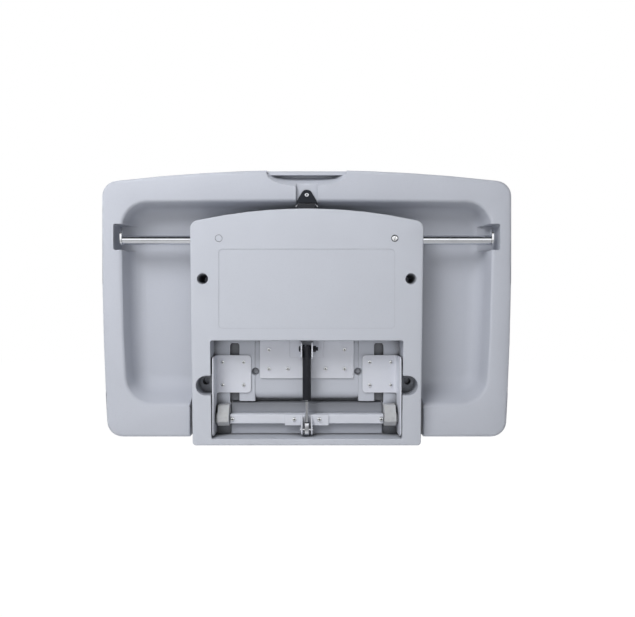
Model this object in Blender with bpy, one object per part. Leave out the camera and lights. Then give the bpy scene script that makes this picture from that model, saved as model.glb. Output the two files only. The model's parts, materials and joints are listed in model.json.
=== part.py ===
"""Fold-down baby changing station, shown closed against its wall.

The wall is the plane y = 0 and the room lies towards -Y, with +Z up. The origin is on
the wall face, in the middle of the width and between the upper and lower wall fixings.
A moulded housing is fixed to the wall. It carries a bag bar and, in a recess open to the
wall, two hinge brackets with bearing blocks, a centre plate and a gas spring. The bed is
a wide moulded tray that closes over the housing and swings down about a square shaft.
"""
from collections import namedtuple
import math

import bmesh
import bpy
from mathutils import Matrix, Vector

# Clearances and mesh settings shared by every piece
SEAT = 0.0003
OVERRUN = 0.005
MERGE = 0.000001
CORNER_STEPS = 6
EDGE_STEPS = 3
ROUND_SIDES = 24
SMALL_SIDES = 12
SMOOTH_ANGLE = math.radians(32)
QUARTER = math.pi / 2
WALL_Y = 0.0
SIDES = (("left", -1), ("right", 1))

Panel = namedtuple("Panel", "half_top half_foot crown_z crown_drop foot_z top_radius foot_radius "
                            "side_bulge", defaults=(0.0,))
CROWN_SHARES = (0.7, 0.5, 0.32, 0.16, 0.0, -0.16, -0.32, -0.5, -0.7)
SIDE_SHARES = (0.62, 0.2, -0.25, -0.65)

# Wall housing
HOUSING_HALF_TOP = 0.246
HOUSING_HALF_FOOT = 0.240
HOUSING_CROWN_Z = 0.2575
HOUSING_CROWN_DROP = 0.0275
HOUSING_FOOT_Z = -0.241
HOUSING_TOP_RADIUS = 0.018
HOUSING_FOOT_RADIUS = 0.0075
HOUSING_DEPTH = 0.070
HOUSING_WALL_EDGE = 0.003
HOUSING_ROOM_EDGE = 0.006
FRONT_WALL = 0.012
FOOT_WALL = 0.014
SIDE_WALL = 0.0395
RECESS_TOP_Z = -0.0205
RECESS_CORNER = 0.003
PAD_RISE = 0.002
PAD_STEP = 0.001
LIP_RADIUS = 0.022
GROOVE_HALF = 0.010
GROOVE_DEPTH = 0.009
GROOVE_TOP_Z = -0.030
GROOVE_REACH = 0.006
DIMPLE_Z = -0.092
DIMPLE_RADIUS = 0.009
DIMPLE_FLOOR_RADIUS = 0.0055
DIMPLE_DEPTH = 0.010
LABEL_INSET = 0.061
LABEL_HALF = HOUSING_HALF_TOP - LABEL_INSET
LABEL_TOP_Z = 0.172
LABEL_FOOT_Z = 0.005
LABEL_CORNER = 0.008
LABEL_DEPTH = 0.0008
HOUSING = Panel(HOUSING_HALF_TOP, HOUSING_HALF_FOOT, HOUSING_CROWN_Z, HOUSING_CROWN_DROP,
                HOUSING_FOOT_Z, HOUSING_TOP_RADIUS, HOUSING_FOOT_RADIUS)
HOUSING_FRONT_Y = WALL_Y - HOUSING_DEPTH
FIELD_Y = HOUSING_FRONT_Y + FRONT_WALL
PAD_Y = FIELD_Y + PAD_RISE
RECESS_FOOT_Z = HOUSING_FOOT_Z + FOOT_WALL
HOUSING_TAPER = ((HOUSING_HALF_TOP - HOUSING_HALF_FOOT)
                 / (HOUSING_CROWN_Z - HOUSING_CROWN_DROP - HOUSING_FOOT_Z))


def housing_half(z):
    """Half width of the housing at a height, from its tapering sides."""
    return HOUSING_HALF_FOOT + HOUSING_TAPER * (z - HOUSING_FOOT_Z)


def recess_half(z):
    """Half width of the recess, whose walls follow the housing's sides."""
    return housing_half(z) - SIDE_WALL


# Wall fixings through the housing
FIXING_UPPER_INSET = 0.0255
FIXING_LOWER_INSET = 0.0226
FIXING_UPPER_Z = 0.1095
FIXING_LOWER_Z = -0.112
FIXING_RADIUS = 0.0075
FIXING_MOUTH_RADIUS = 0.012
FIXING_MOUTH_DEPTH = 0.016
FIXING_POCKET_SHIFT = 0.006
FIXING_POCKET_Z = -0.115
FIXING_POCKET_RADIUS = 0.0205
FIXING_POCKET_DEPTH = 0.045
FIXING_UPPER_X = housing_half(FIXING_UPPER_Z) - FIXING_UPPER_INSET
FIXING_LOWER_X = housing_half(FIXING_LOWER_Z) - FIXING_LOWER_INSET
FIXING_POCKET_X = FIXING_LOWER_X - FIXING_POCKET_SHIFT

# Hinge axis and square shaft
HINGE_SETBACK = 0.044
HINGE_RISE = 0.049
SHAFT_SIDE = 0.020
SHAFT_EDGE = 0.0015
SHAFT_WINDOW_PLAY = 0.0005
JOURNAL_RADIUS = 0.009
JOURNAL_END_PLAY = 0.0015
HINGE_Y = WALL_Y - HINGE_SETBACK
HINGE_Z = HOUSING_FOOT_Z + HINGE_RISE
SHAFT_WALL_Y = HINGE_Y + SHAFT_SIDE / 2
SHAFT_ROOM_Y = HINGE_Y - SHAFT_SIDE / 2

# Sheet steel brackets in the recess
SHEET = 0.003
BRACKET_WIDTH = 0.078
BRACKET_TOP_Z = -0.056
BRACKET_PLATE_FOOT_Z = -0.138
BRACKET_FOOT_RISE = 0.003
BRACKET_CORNER = 0.008
BRACKET_BEND = 0.010
BRACKET_WEB_CORNER = 0.003
FLANGE_PLAY = 0.0007
FLANGE_TIP = 0.006
BRACKET_SCREW_INSET_X = 0.016
BRACKET_SCREW_OUTER_X = 0.0625
BRACKET_SCREW_INSET_Z = 0.015
BRACKET_SCREW_LOWER_Z = 0.065
CENTRE_MARGIN = 0.019
CENTRE_TOP_GAP = 0.002
CENTRE_FOOT_Z = -0.107
CENTRE_CORNER = 0.004
CENTRE_SCREW_INSET = 0.020
CENTRE_SCREW_UPPER_Z = -0.044
CENTRE_SCREW_LOWER_Z = -0.086
FLANGE_OUTER_X = min(recess_half(RECESS_FOOT_Z), recess_half(RECESS_TOP_Z)) - FLANGE_PLAY
FLANGE_INNER_X = FLANGE_OUTER_X - SHEET
BRACKET_INNER_X = FLANGE_OUTER_X - BRACKET_WIDTH
CENTRE_HALF = BRACKET_INNER_X - CENTRE_MARGIN
CENTRE_SCREW_OUTER_X = CENTRE_HALF - CENTRE_SCREW_INSET
CENTRE_SCREW_INNER_X = CENTRE_SCREW_OUTER_X / 2
PAD_MARGIN = 0.008
PAD_START = BRACKET_INNER_X - PAD_MARGIN
DIMPLE_X = BRACKET_INNER_X - CENTRE_MARGIN / 2

# Bearing blocks, as places around the hinge axis
BLOCK_WINDOW_GAP = 0.001
BLOCK_WIDTH = 0.025
BLOCK_STUB_RADIUS = 0.0116
BLOCK_RISE = 0.030
BLOCK_DROP = 0.014
BLOCK_NOSE = 0.021
BLOCK_NOSE_TOP = 0.010
BLOCK_NOSE_FOOT = 0.004
BLOCK_SHOULDER = 0.009
BLOCK_HEEL = 0.012
BLOCK_STUB_LENGTH = 0.005
WINDOW_HALF = FLANGE_INNER_X - BLOCK_STUB_LENGTH - BLOCK_WIDTH - BLOCK_WINDOW_GAP
SQUARE_HALF = WINDOW_HALF - SHAFT_WINDOW_PLAY
GROOVE_INSET = 0.008
GROOVE_X = WINDOW_HALF - GROOVE_INSET

# Gas spring pivots, spring bracket and crank
SPRING_TOP_Y = -0.028
SPRING_TOP_Z = -0.040
CRANK_REACH_Y = 0.020
CRANK_REACH_Z = 0.020
SPRING_TOP = Vector((0, SPRING_TOP_Y, SPRING_TOP_Z))
SPRING_FOOT = Vector((0, HINGE_Y + CRANK_REACH_Y, HINGE_Z - CRANK_REACH_Z))
SPRING_LENGTH = (SPRING_TOP - SPRING_FOOT).length
SPRING_BASE_HALF = 0.037
SPRING_BASE_FOOT_Z = -0.061
EAR_GAP_HALF = 0.010
EAR_CORNER = 0.008
TOP_PIN_RADIUS = 0.004
TOP_PIN_HEAD_RADIUS = 0.007
TOP_PIN_HEAD = 0.004
TOP_PIN_TAIL = 0.011
TOP_NUT_RADIUS = 0.0075
TOP_NUT_HEIGHT = 0.0065
SLOT_TRAVEL = 0.0082
SLOT_PLAY_Y = 0.0004
SLOT_PLAY_Z = 0.0012
SLOT_WALL = 0.0035
CRANK_BASE_HALF = 0.047
CRANK_BASE_RISE = 0.010
CRANK_BASE_DROP = 0.013
CRANK_EAR_GAP_HALF = 0.009
CRANK_EAR_RADIUS = 0.011
CRANK_EAR_TOP = 0.009
CRANK_SCREW_X = 0.0267
CRANK_PIN_RADIUS = 0.003
CRANK_PIN_HEAD_RADIUS = 0.0055
CRANK_PIN_HEAD = 0.003
CRANK_PIN_TAIL = 0.002

# Gas spring, measured along its own axis from its two pivots
CYLINDER_RADIUS = 0.00925
CYLINDER_TOP_REACH = 0.009
CYLINDER_CAP_DROP = 0.004
CYLINDER_LENGTH = 0.112
CYLINDER_WALL = 0.0016
CYLINDER_GLAND = 0.008
CHAMBER_TOP = 0.012
ROD_RADIUS = 0.004
PISTON_RADIUS = 0.0072
PISTON_LENGTH = 0.010
PISTON_END_PLAY = 0.002
ROD_EYE_RISE = 0.017
ROD_EYE_DROP = 0.013
ROD_EYE_HALF_DEPTH = 0.006
ROD_EYE_THICKNESS = 0.0085

# Screws: head radius, head height, shank radius and shank length
SCREW_HEAD_RADIUS = 0.0043
SCREW_HEAD = 0.0024
SCREW_RADIUS = 0.002
SCREW_LENGTH = 0.011
BOLT_HEAD_RADIUS = 0.0048
BOLT_HEAD = 0.0035
BOLT_RADIUS = 0.003
BOLT_BITE = 0.012
CRANK_SCREW_BITE = 0.008
HOLE_END_PLAY = 0.001
SHAFT_BOLT_INSET = 0.004
HEAD_SHARES = ((1.0, 0.0), (1.0, 0.4), (0.8, 0.82), (0.45, 1.0), (0.0, 1.0))

# Bag bar with its end caps, fixing screw and blank plug
BAR_SETBACK = 0.040
BAR_Z = 0.1946
BAR_RADIUS = 0.010
BAR_WALL = 0.0015
BAR_FIXING_INSET = 0.061
BAR_END_PLAY = 0.0095
CAP_THICKNESS = 0.004
CAP_DOME = 0.003
CAP_HALF_DEPTH = 0.0115
CAP_DROP = 0.0115
CAP_RISE = 0.0215
CAP_SPIGOT = 0.012
PLUG_RADIUS = 0.0075
PLUG_HEAD = 0.001
PLUG_LENGTH = 0.008
BAR_SCREW_HEAD_RADIUS = 0.0065
BAR_SCREW_HEAD = 0.003
BAR_SCREW_RADIUS = 0.0025
BAR_SCREW_TIP = 0.006
BAR_SCREW_SINK = 0.0036
BAR_SCREW_WELL_RADIUS = 0.0075
PLUG_SINK = 0.0002
BAR_Y = WALL_Y - BAR_SETBACK
BAR_FIXING_X = HOUSING_HALF_TOP - BAR_FIXING_INSET

# Bed tray
BED_HALF_TOP = 0.4405
BED_HALF_FOOT = 0.4283
BED_SIDE_BULGE = 0.0052
BED_CROWN_Z = 0.3454
BED_CROWN_DROP = 0.0263
BED_FOOT_DROP = 0.0375
BED_TOP_RADIUS = 0.034
BED_FOOT_RADIUS = 0.034
BED_WALL_GAP = 0.025
BED_FLOOR_GAP = 0.014
BED_SKIN = 0.026
BED_RIM_EDGE = 0.008
BED_FRONT_EDGE = 0.014
BASIN_SIDE_RIM = 0.044
BASIN_TOP_RIM = 0.068
BASIN_FOOT_RIM = 0.071
BASIN_CROWN_DROP = 0.003
BASIN_TOP_RADIUS = 0.054
BASIN_FOOT_RADIUS = 0.058
BASIN_SIDE_SLOPE = 0.008
BASIN_TOP_SLOPE = 0.008
BASIN_FOOT_SLOPE = 0.030
BASIN_MOUTH_EDGE = 0.006
BASIN_FLOOR_FILLET = 0.025
BASIN_STEPS = 5
NOTCH_GAP = 0.004
NOTCH_RISE = 0.060
SLAB_RISE = 0.0275
SLAB_EDGE = 0.005
KNUCKLE_PLAY = 0.0015
KNUCKLE_TOP = 0.032
KNUCKLE_SEAT = 0.0003
NECK_FOOT = 0.009
NECK_SHY = 0.001
TOE_GAP = 0.001
LEDGE_PLAY = 0.0005
WINDOW_PLAY = 0.003
STOP_GAP = 0.0004
KNUCKLE_HALF = WINDOW_HALF - KNUCKLE_PLAY
SHAFT_BOLT_X = KNUCKLE_HALF - SHAFT_BOLT_INSET
BED_FOOT_Z = HINGE_Z - BED_FOOT_DROP
RIM_Y = WALL_Y - BED_WALL_GAP
FLOOR_Y = HOUSING_FRONT_Y - BED_FLOOR_GAP
BED_FRONT_Y = FLOOR_Y - BED_SKIN
BASIN_TOP_Z = BED_CROWN_Z - BASIN_TOP_RIM
BASIN_FOOT_Z = BED_FOOT_Z + BASIN_FOOT_RIM
BED = Panel(BED_HALF_TOP, BED_HALF_FOOT, BED_CROWN_Z, BED_CROWN_DROP,
            BED_FOOT_Z, BED_TOP_RADIUS, BED_FOOT_RADIUS, BED_SIDE_BULGE)
BASIN = Panel(BED_HALF_TOP - BASIN_SIDE_RIM, BED_HALF_FOOT - BASIN_SIDE_RIM, BASIN_TOP_Z,
              BASIN_CROWN_DROP, BASIN_FOOT_Z, BASIN_TOP_RADIUS, BASIN_FOOT_RADIUS,
              BED_SIDE_BULGE)
BASIN_DEPTH = RIM_Y - FLOOR_Y
KNUCKLE_RADIUS = HINGE_Z - RECESS_FOOT_Z - STOP_GAP
WINDOW_TOP_Z = HINGE_Z + KNUCKLE_TOP + WINDOW_PLAY
LEDGE_Y = HINGE_Y - NECK_FOOT + LEDGE_PLAY

# Bar pockets, handle scoop and strap channel in the bed's rim
BAR_POCKET_RIM = 0.0255
BAR_POCKET_LENGTH = 0.060
BAR_POCKET_DROP = 0.022
BAR_POCKET_RISE = 0.034
BAR_POCKET_DEPTH = 0.053
BAR_POCKET_CORNER = 0.004
SCOOP_HALF = 0.086
SCOOP_STEP = 0.010
SCOOP_LIP = 0.0105
SCOOP_DROP = 0.027
SCOOP_FLOOR_HALF = 0.062
SCOOP_FLOOR_DROP = 0.002
SCOOP_DEPTH = 0.029
SCOOP_LIP_ROUND = 0.010
SCOOP_STEPS = 14
CHANNEL_HALF = 0.0235
CHANNEL_DEPTH = 0.009
CHANNEL_RUN_OUT = 0.010
CHANNEL_Y = RIM_Y - CHANNEL_DEPTH
SCOOP_STEP_Y = RIM_Y - SCOOP_STEP
SCOOP_FLOOR_Y = RIM_Y - SCOOP_DEPTH

# Safety strap: anchors, webbing and buckle
ANCHOR_THICKNESS = 0.004
ANCHOR_HALF = 0.0225
ANCHOR_SHOULDER = 0.011
ANCHOR_LENGTH = 0.037
ANCHOR_TIP_HALF = 0.0072
ANCHOR_TIP_RADIUS = 0.0115
ANCHOR_CORNER = 0.004
ANCHOR_BAR = 0.0035
ANCHOR_SLOT = 0.005
ANCHOR_SLOT_END = 0.0008
ANCHOR_FRONT_REST = 0.012
ANCHOR_REAR_Z = -0.120
ANCHOR_BOSS_RISE = 0.003
ANCHOR_BOSS_MARGIN = 0.002
ANCHOR_SCREW_HEAD_RADIUS = 0.0048
ANCHOR_SCREW_HEAD = 0.0025
ANCHOR_SCREW_LENGTH = 0.016
STRAP_HALF = 0.019
STRAP_THICKNESS = 0.0015
STRAP_TAIL = 0.0075
STRAP_BEND = 0.003
STRAP_RUN_DROP = 0.002
STRAP_WRAP_STEPS = 6
BUCKLE_TOP_Z = 0.085
BUCKLE_LENGTH = 0.036
BUCKLE_TONGUE_LENGTH = 0.026
BUCKLE_HALF = 0.026
BUCKLE_TONGUE_HALF = 0.022
BUCKLE_THICKNESS = 0.010
BUCKLE_TONGUE_THICKNESS = 0.008
BUCKLE_CORNER = 0.006
BUCKLE_EDGE = 0.002

# Colour, roughness and metallic value of each kind of finish
LOOKS = {
    "housing_plastic": ((0.52, 0.55, 0.62), 0.45, 0.0),
    "bed_plastic": ((0.62, 0.65, 0.71), 0.42, 0.0),
    "coated_steel": ((0.55, 0.56, 0.64), 0.40, 0.2),
    "bright_steel": ((0.70, 0.70, 0.72), 0.15, 1.0),
    "zinc_steel": ((0.62, 0.63, 0.65), 0.30, 1.0),
    "cream_nylon": ((0.62, 0.61, 0.57), 0.50, 0.0),
    "black_enamel": ((0.02, 0.022, 0.03), 0.35, 0.0),
    "black_plastic": ((0.032, 0.036, 0.048), 0.50, 0.0),
    "black_webbing": ((0.022, 0.023, 0.028), 0.90, 0.0),
}


def remove_everything():
    """Start from an empty scene."""
    for obj in list(bpy.data.objects):
        bpy.data.objects.remove(obj, do_unlink=True)


def rounded(corners, steps=CORNER_STEPS):
    """Points of a closed outline from corners (u, v, radius), each radius made an arc."""
    points = []
    for i, (u, v, radius) in enumerate(corners):
        here = Vector((u, v))
        if not radius:
            points.append((u, v))
            continue
        back = (Vector(corners[i - 1][:2]) - here).normalized()
        ahead = (Vector(corners[(i + 1) % len(corners)][:2]) - here).normalized()
        half = back.angle(ahead) / 2
        centre = here + (back + ahead).normalized() * (radius / math.sin(half))
        start = here + back * (radius / math.tan(half)) - centre
        end = here + ahead * (radius / math.tan(half)) - centre
        turn = start.angle_signed(end)
        for k in range(steps + 1):
            points.append(tuple(centre + Matrix.Rotation(-turn * k / steps, 2) @ start))
    return points


def box_corners(u_low, u_high, v_low, v_high, radius=0.0):
    """Corners of a rectangle, all with one radius."""
    return [(u_low, v_low, radius), (u_high, v_low, radius),
            (u_high, v_high, radius), (u_low, v_high, radius)]


def placed(axis, u, v, w):
    """Point with w along the named axis and u, v along the other two in X, Y, Z order."""
    return Vector({"X": (w, u, v), "Y": (u, w, v), "Z": (u, v, w)}[axis])


def outward(bm):
    """Turn all face normals of a closed mesh outwards."""
    bm.normal_update()
    bmesh.ops.recalc_face_normals(bm, faces=bm.faces)
    return bm


def prism(outline, axis, low, high):
    """Outline drawn square to an axis and extruded along it."""
    bm = bmesh.new()
    face = bm.faces.new([bm.verts.new(placed(axis, u, v, low)) for u, v in outline])
    grown = bmesh.ops.extrude_face_region(bm, geom=[face])["geom"]
    moved = [item for item in grown if isinstance(item, bmesh.types.BMVert)]
    bmesh.ops.translate(bm, verts=moved, vec=placed(axis, 0, 0, high - low))
    return outward(bm)


def loft(rings):
    """Solid bridged through rings of equally many points and filled at both ends."""
    bm = bmesh.new()
    loops = []
    for ring in rings:
        verts = [bm.verts.new(point) for point in ring]
        loops.append([bm.edges.new(pair) for pair in zip(verts, verts[1:] + verts[:1])])
    for near, far in zip(loops, loops[1:]):
        bmesh.ops.bridge_loops(bm, edges=near + far)
    for end in (loops[0], loops[-1]):
        bmesh.ops.edgeloop_fill(bm, edges=end)
    return outward(bm)


def turned(profile, sides=ROUND_SIDES, closed=False):
    """Profile of (radius, height) points spun about Z."""
    bm = bmesh.new()
    verts = [bm.verts.new((radius, 0, height)) for radius, height in profile]
    edges = [bm.edges.new(pair) for pair in zip(verts, verts[1:])]
    if closed:
        edges.append(bm.edges.new((verts[-1], verts[0])))
    bmesh.ops.spin(bm, geom=verts + edges, cent=(0, 0, 0), axis=(0, 0, 1),
                   angle=2 * math.pi, steps=sides, use_merge=True)
    bmesh.ops.remove_doubles(bm, verts=bm.verts, dist=MERGE)
    return outward(bm)


def aimed(bm, direction, at):
    """Mesh made along Z, turned to point along a direction and moved to a place."""
    turn = Vector((0, 0, 1)).rotation_difference(Vector(direction)).to_matrix().to_4x4()
    bm.transform(Matrix.Translation(Vector(at)) @ turn)
    return bm


def handed(bm, sign):
    """Mesh made for the +X side, mirrored when the sign is negative."""
    if sign < 0:
        bm.transform(Matrix.Scale(-1, 4, (1, 0, 0)))
        outward(bm)
    return bm


def post(radius, length, sides=ROUND_SIDES, end_radius=None):
    """Round bar or cone from the origin up Z."""
    top = radius if end_radius is None else end_radius
    return turned([(0, 0), (radius, 0), (top, length), (0, length)], sides)


def solid(name, bm):
    """Object in the scene from a finished bmesh."""
    mesh = bpy.data.meshes.new(name)
    bm.to_mesh(mesh)
    bm.free()
    obj = bpy.data.objects.new(name, mesh)
    bpy.context.collection.objects.link(obj)
    return obj


def combine(obj, operation, shapes):
    """Boolean of an object with several meshes, kept as the object's own mesh."""
    tools = [solid("tool", bm) for bm in shapes]
    for tool in tools:
        step = obj.modifiers.new(operation.lower(), "BOOLEAN")
        step.operation = operation
        step.solver = "EXACT"
        step.object = tool
    bpy.context.view_layer.update()
    graph = bpy.context.evaluated_depsgraph_get()
    mesh = bpy.data.meshes.new_from_object(obj.evaluated_get(graph), depsgraph=graph)
    obj.modifiers.clear()
    obj.data = mesh
    for tool in tools:
        bpy.data.objects.remove(tool, do_unlink=True)


def cut(obj, *shapes):
    """Take shapes away from an object."""
    combine(obj, "DIFFERENCE", shapes)


def fuse(obj, *shapes):
    """Join shapes to an object."""
    combine(obj, "UNION", shapes)


def trim(obj, *shapes):
    """Keep only what an object shares with each shape."""
    combine(obj, "INTERSECT", shapes)


def finish(obj, look, pivot=None):
    """Give a piece its own material and shading, and hang a moving piece on its pivot."""
    colour, roughness, metallic = LOOKS[look]
    material = bpy.data.materials.new(f"{obj.name}_{look}")
    material.use_nodes = True
    shader = material.node_tree.nodes["Principled BSDF"]
    shader.inputs["Base Color"].default_value = (*colour, 1.0)
    shader.inputs["Roughness"].default_value = roughness
    shader.inputs["Metallic"].default_value = metallic
    obj.data.materials.clear()
    obj.data.materials.append(material)
    obj.data.shade_smooth()
    obj.data.set_sharp_from_angle(angle=SMOOTH_ANGLE)
    if pivot:
        obj.data.transform(pivot.matrix_world.inverted())
        obj.parent = pivot
    return obj


def pivot_empty(name, matrix, parent=None):
    """Empty on a joint's axis."""
    empty = bpy.data.objects.new(name, None)
    bpy.context.collection.objects.link(empty)
    empty.parent = parent
    empty.matrix_world = matrix
    bpy.context.view_layer.update()
    return empty


def panel_ring(panel, y, side=0.0, top=None, foot=None):
    """Outline of a panel at a depth, drawn in by a distance on each edge."""
    top = side if top is None else top
    foot = side if foot is None else foot
    half_top = panel.half_top - side
    half_foot = panel.half_foot - side
    crown = panel.crown_z - top
    shoulder = crown - panel.crown_drop
    low = panel.foot_z + foot
    top_radius = max(panel.top_radius - (side + top) / 2, MERGE)
    foot_radius = max(panel.foot_radius - (side + foot) / 2, MERGE)
    arch = [(half_top * share, crown - panel.crown_drop * share ** 2, 0) for share in CROWN_SHARES]
    flank = [((half_top + half_foot + (half_top - half_foot) * share) / 2
              + panel.side_bulge * (1 - share ** 2),
              (shoulder + low + (shoulder - low) * share) / 2, 0)
             for share in SIDE_SHARES if panel.side_bulge]
    corners = [(half_foot, low, foot_radius), *flank[::-1], (half_top, shoulder, top_radius), *arch,
               (-half_top, shoulder, top_radius), *[(-x, z, 0) for x, z, _ in flank],
               (-half_foot, low, foot_radius)]
    return [placed("Y", x, z, y) for x, z in rounded(corners)]


def slab_rings(panel, start_y, start_radius, end_y, end_radius):
    """Rings of a panel whose wall edge and room edge are rounded."""
    rings = []
    for k in range(EDGE_STEPS + 1):
        angle = QUARTER * k / EDGE_STEPS
        rings.append(panel_ring(panel, start_y - start_radius * (1 - math.cos(angle)),
                                start_radius * (1 - math.sin(angle))))
    for k in range(EDGE_STEPS + 1):
        angle = QUARTER * k / EDGE_STEPS
        rings.append(panel_ring(panel, end_y + end_radius * (1 - math.sin(angle)),
                                end_radius * (1 - math.cos(angle))))
    return rings


def screw(head_radius, head, radius, length):
    """Pan-headed screw standing on the plane z = 0, with its shank below."""
    profile = [(0, -length), (radius, -length), (radius, 0)]
    profile += [(head_radius * across, head * up) for across, up in HEAD_SHARES]
    return turned(profile, SMALL_SIDES)


PLATE_BACK_Y = PAD_Y + SEAT
PLATE_FACE_Y = PLATE_BACK_Y + SHEET
CENTRE_BACK_Y = FIELD_Y + SEAT
CENTRE_FACE_Y = CENTRE_BACK_Y + SHEET
CENTRE_TOP_Z = RECESS_TOP_Z - CENTRE_TOP_GAP
SPRING_BASE_Y = CENTRE_FACE_Y + SEAT
CRANK_BASE_Y = SHAFT_WALL_Y + SEAT
BAR_TUBE_HALF = BED_HALF_TOP - BAR_POCKET_RIM - BAR_END_PLAY - CAP_DOME - CAP_THICKNESS - SEAT


def bracket_screw_places():
    """Screw centres of the +X hinge bracket."""
    return [(BRACKET_INNER_X + inset, BRACKET_TOP_Z - drop)
            for inset in (BRACKET_SCREW_INSET_X, BRACKET_SCREW_OUTER_X)
            for drop in (BRACKET_SCREW_INSET_Z, BRACKET_SCREW_LOWER_Z)]


def centre_screw_places():
    """Screw centres of the centre plate."""
    return [(sign * x, z) for x, z in ((CENTRE_SCREW_OUTER_X, CENTRE_SCREW_UPPER_Z),
                                       (CENTRE_SCREW_OUTER_X, CENTRE_SCREW_LOWER_Z),
                                       (CENTRE_SCREW_INNER_X, CENTRE_SCREW_LOWER_Z))
            for sign in (-1, 1)]


def wall_hole(x, z, face_y, depth, radius, sides=SMALL_SIDES):
    """Cutter for a round hole that opens towards the wall."""
    return aimed(post(radius, depth + OVERRUN, sides), (0, 1, 0), (x, face_y - depth, z))


def recess_cutters():
    """The recess with its raised side pads, the hinge window, lip, grooves and dimples."""
    top, foot = RECESS_TOP_Z, RECESS_FOOT_Z
    outline = rounded([(recess_half(foot), foot, RECESS_CORNER), (recess_half(top), top, RECESS_CORNER),
                       (-recess_half(top), top, RECESS_CORNER),
                       (-recess_half(foot), foot, RECESS_CORNER)], EDGE_STEPS)
    yield prism(outline, "Y", PAD_Y, WALL_Y + OVERRUN)
    yield prism(rounded(box_corners(-PAD_START, PAD_START, WINDOW_TOP_Z - OVERRUN, top - PAD_STEP)),
                "Y", FIELD_Y, PAD_Y + OVERRUN)
    yield prism(rounded(box_corners(HOUSING_FRONT_Y - OVERRUN, LEDGE_Y,
                                    HOUSING_FOOT_Z - OVERRUN, WINDOW_TOP_Z)),
                "X", -WINDOW_HALF, WINDOW_HALF)
    lip = [(FIELD_Y + OVERRUN, WINDOW_TOP_Z + LIP_RADIUS)]
    for k in range(CORNER_STEPS + 1):
        angle = QUARTER * k / CORNER_STEPS
        lip.append((FIELD_Y - LIP_RADIUS + LIP_RADIUS * math.cos(angle),
                    WINDOW_TOP_Z + LIP_RADIUS - LIP_RADIUS * math.sin(angle)))
    lip += [(FIELD_Y - LIP_RADIUS, WINDOW_TOP_Z - OVERRUN), (FIELD_Y + OVERRUN, WINDOW_TOP_Z - OVERRUN)]
    yield prism(lip, "X", PAD_STEP - PAD_START, PAD_START - PAD_STEP)
    for _, sign in SIDES:
        x = sign * GROOVE_X
        groove = rounded(box_corners(x - GROOVE_HALF, x + GROOVE_HALF,
                                     WINDOW_TOP_Z - GROOVE_REACH, GROOVE_TOP_Z, GROOVE_HALF / 2))
        yield prism(groove, "Y", PAD_Y - GROOVE_DEPTH, PAD_Y + OVERRUN)
        dimple = turned([(0, 0), (DIMPLE_FLOOR_RADIUS, 0), (DIMPLE_RADIUS, DIMPLE_DEPTH),
                         (DIMPLE_RADIUS, DIMPLE_DEPTH + OVERRUN), (0, DIMPLE_DEPTH + OVERRUN)])
        yield aimed(dimple, (0, 1, 0), (sign * DIMPLE_X, PAD_Y - DIMPLE_DEPTH, DIMPLE_Z))


def fixing_cutters():
    """Four stepped wall fixings, the lower two at the bottom of round pockets."""
    span = HOUSING_DEPTH + 2 * OVERRUN
    for _, sign in SIDES:
        for x, z in ((FIXING_UPPER_X, FIXING_UPPER_Z), (FIXING_LOWER_X, FIXING_LOWER_Z)):
            yield aimed(post(FIXING_RADIUS, span), (0, 1, 0),
                        (sign * x, HOUSING_FRONT_Y - OVERRUN, z))
        mouth = turned([(0, 0), (FIXING_RADIUS, 0), (FIXING_MOUTH_RADIUS, FIXING_MOUTH_DEPTH),
                        (FIXING_MOUTH_RADIUS, FIXING_MOUTH_DEPTH + OVERRUN),
                        (0, FIXING_MOUTH_DEPTH + OVERRUN)])
        yield aimed(mouth, (0, 1, 0),
                    (sign * FIXING_UPPER_X, WALL_Y - FIXING_MOUTH_DEPTH, FIXING_UPPER_Z))
        inner = sign * (recess_half(FIXING_POCKET_Z) - OVERRUN)
        centre = sign * FIXING_POCKET_X
        yield wall_hole(centre, FIXING_POCKET_Z, WALL_Y, FIXING_POCKET_DEPTH,
                        FIXING_POCKET_RADIUS, ROUND_SIDES)
        way = box_corners(min(inner, centre), max(inner, centre),
                          FIXING_POCKET_Z - FIXING_POCKET_RADIUS, FIXING_POCKET_Z + FIXING_POCKET_RADIUS)
        yield prism(rounded(way), "Y", WALL_Y - FIXING_POCKET_DEPTH, WALL_Y + OVERRUN)


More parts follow.
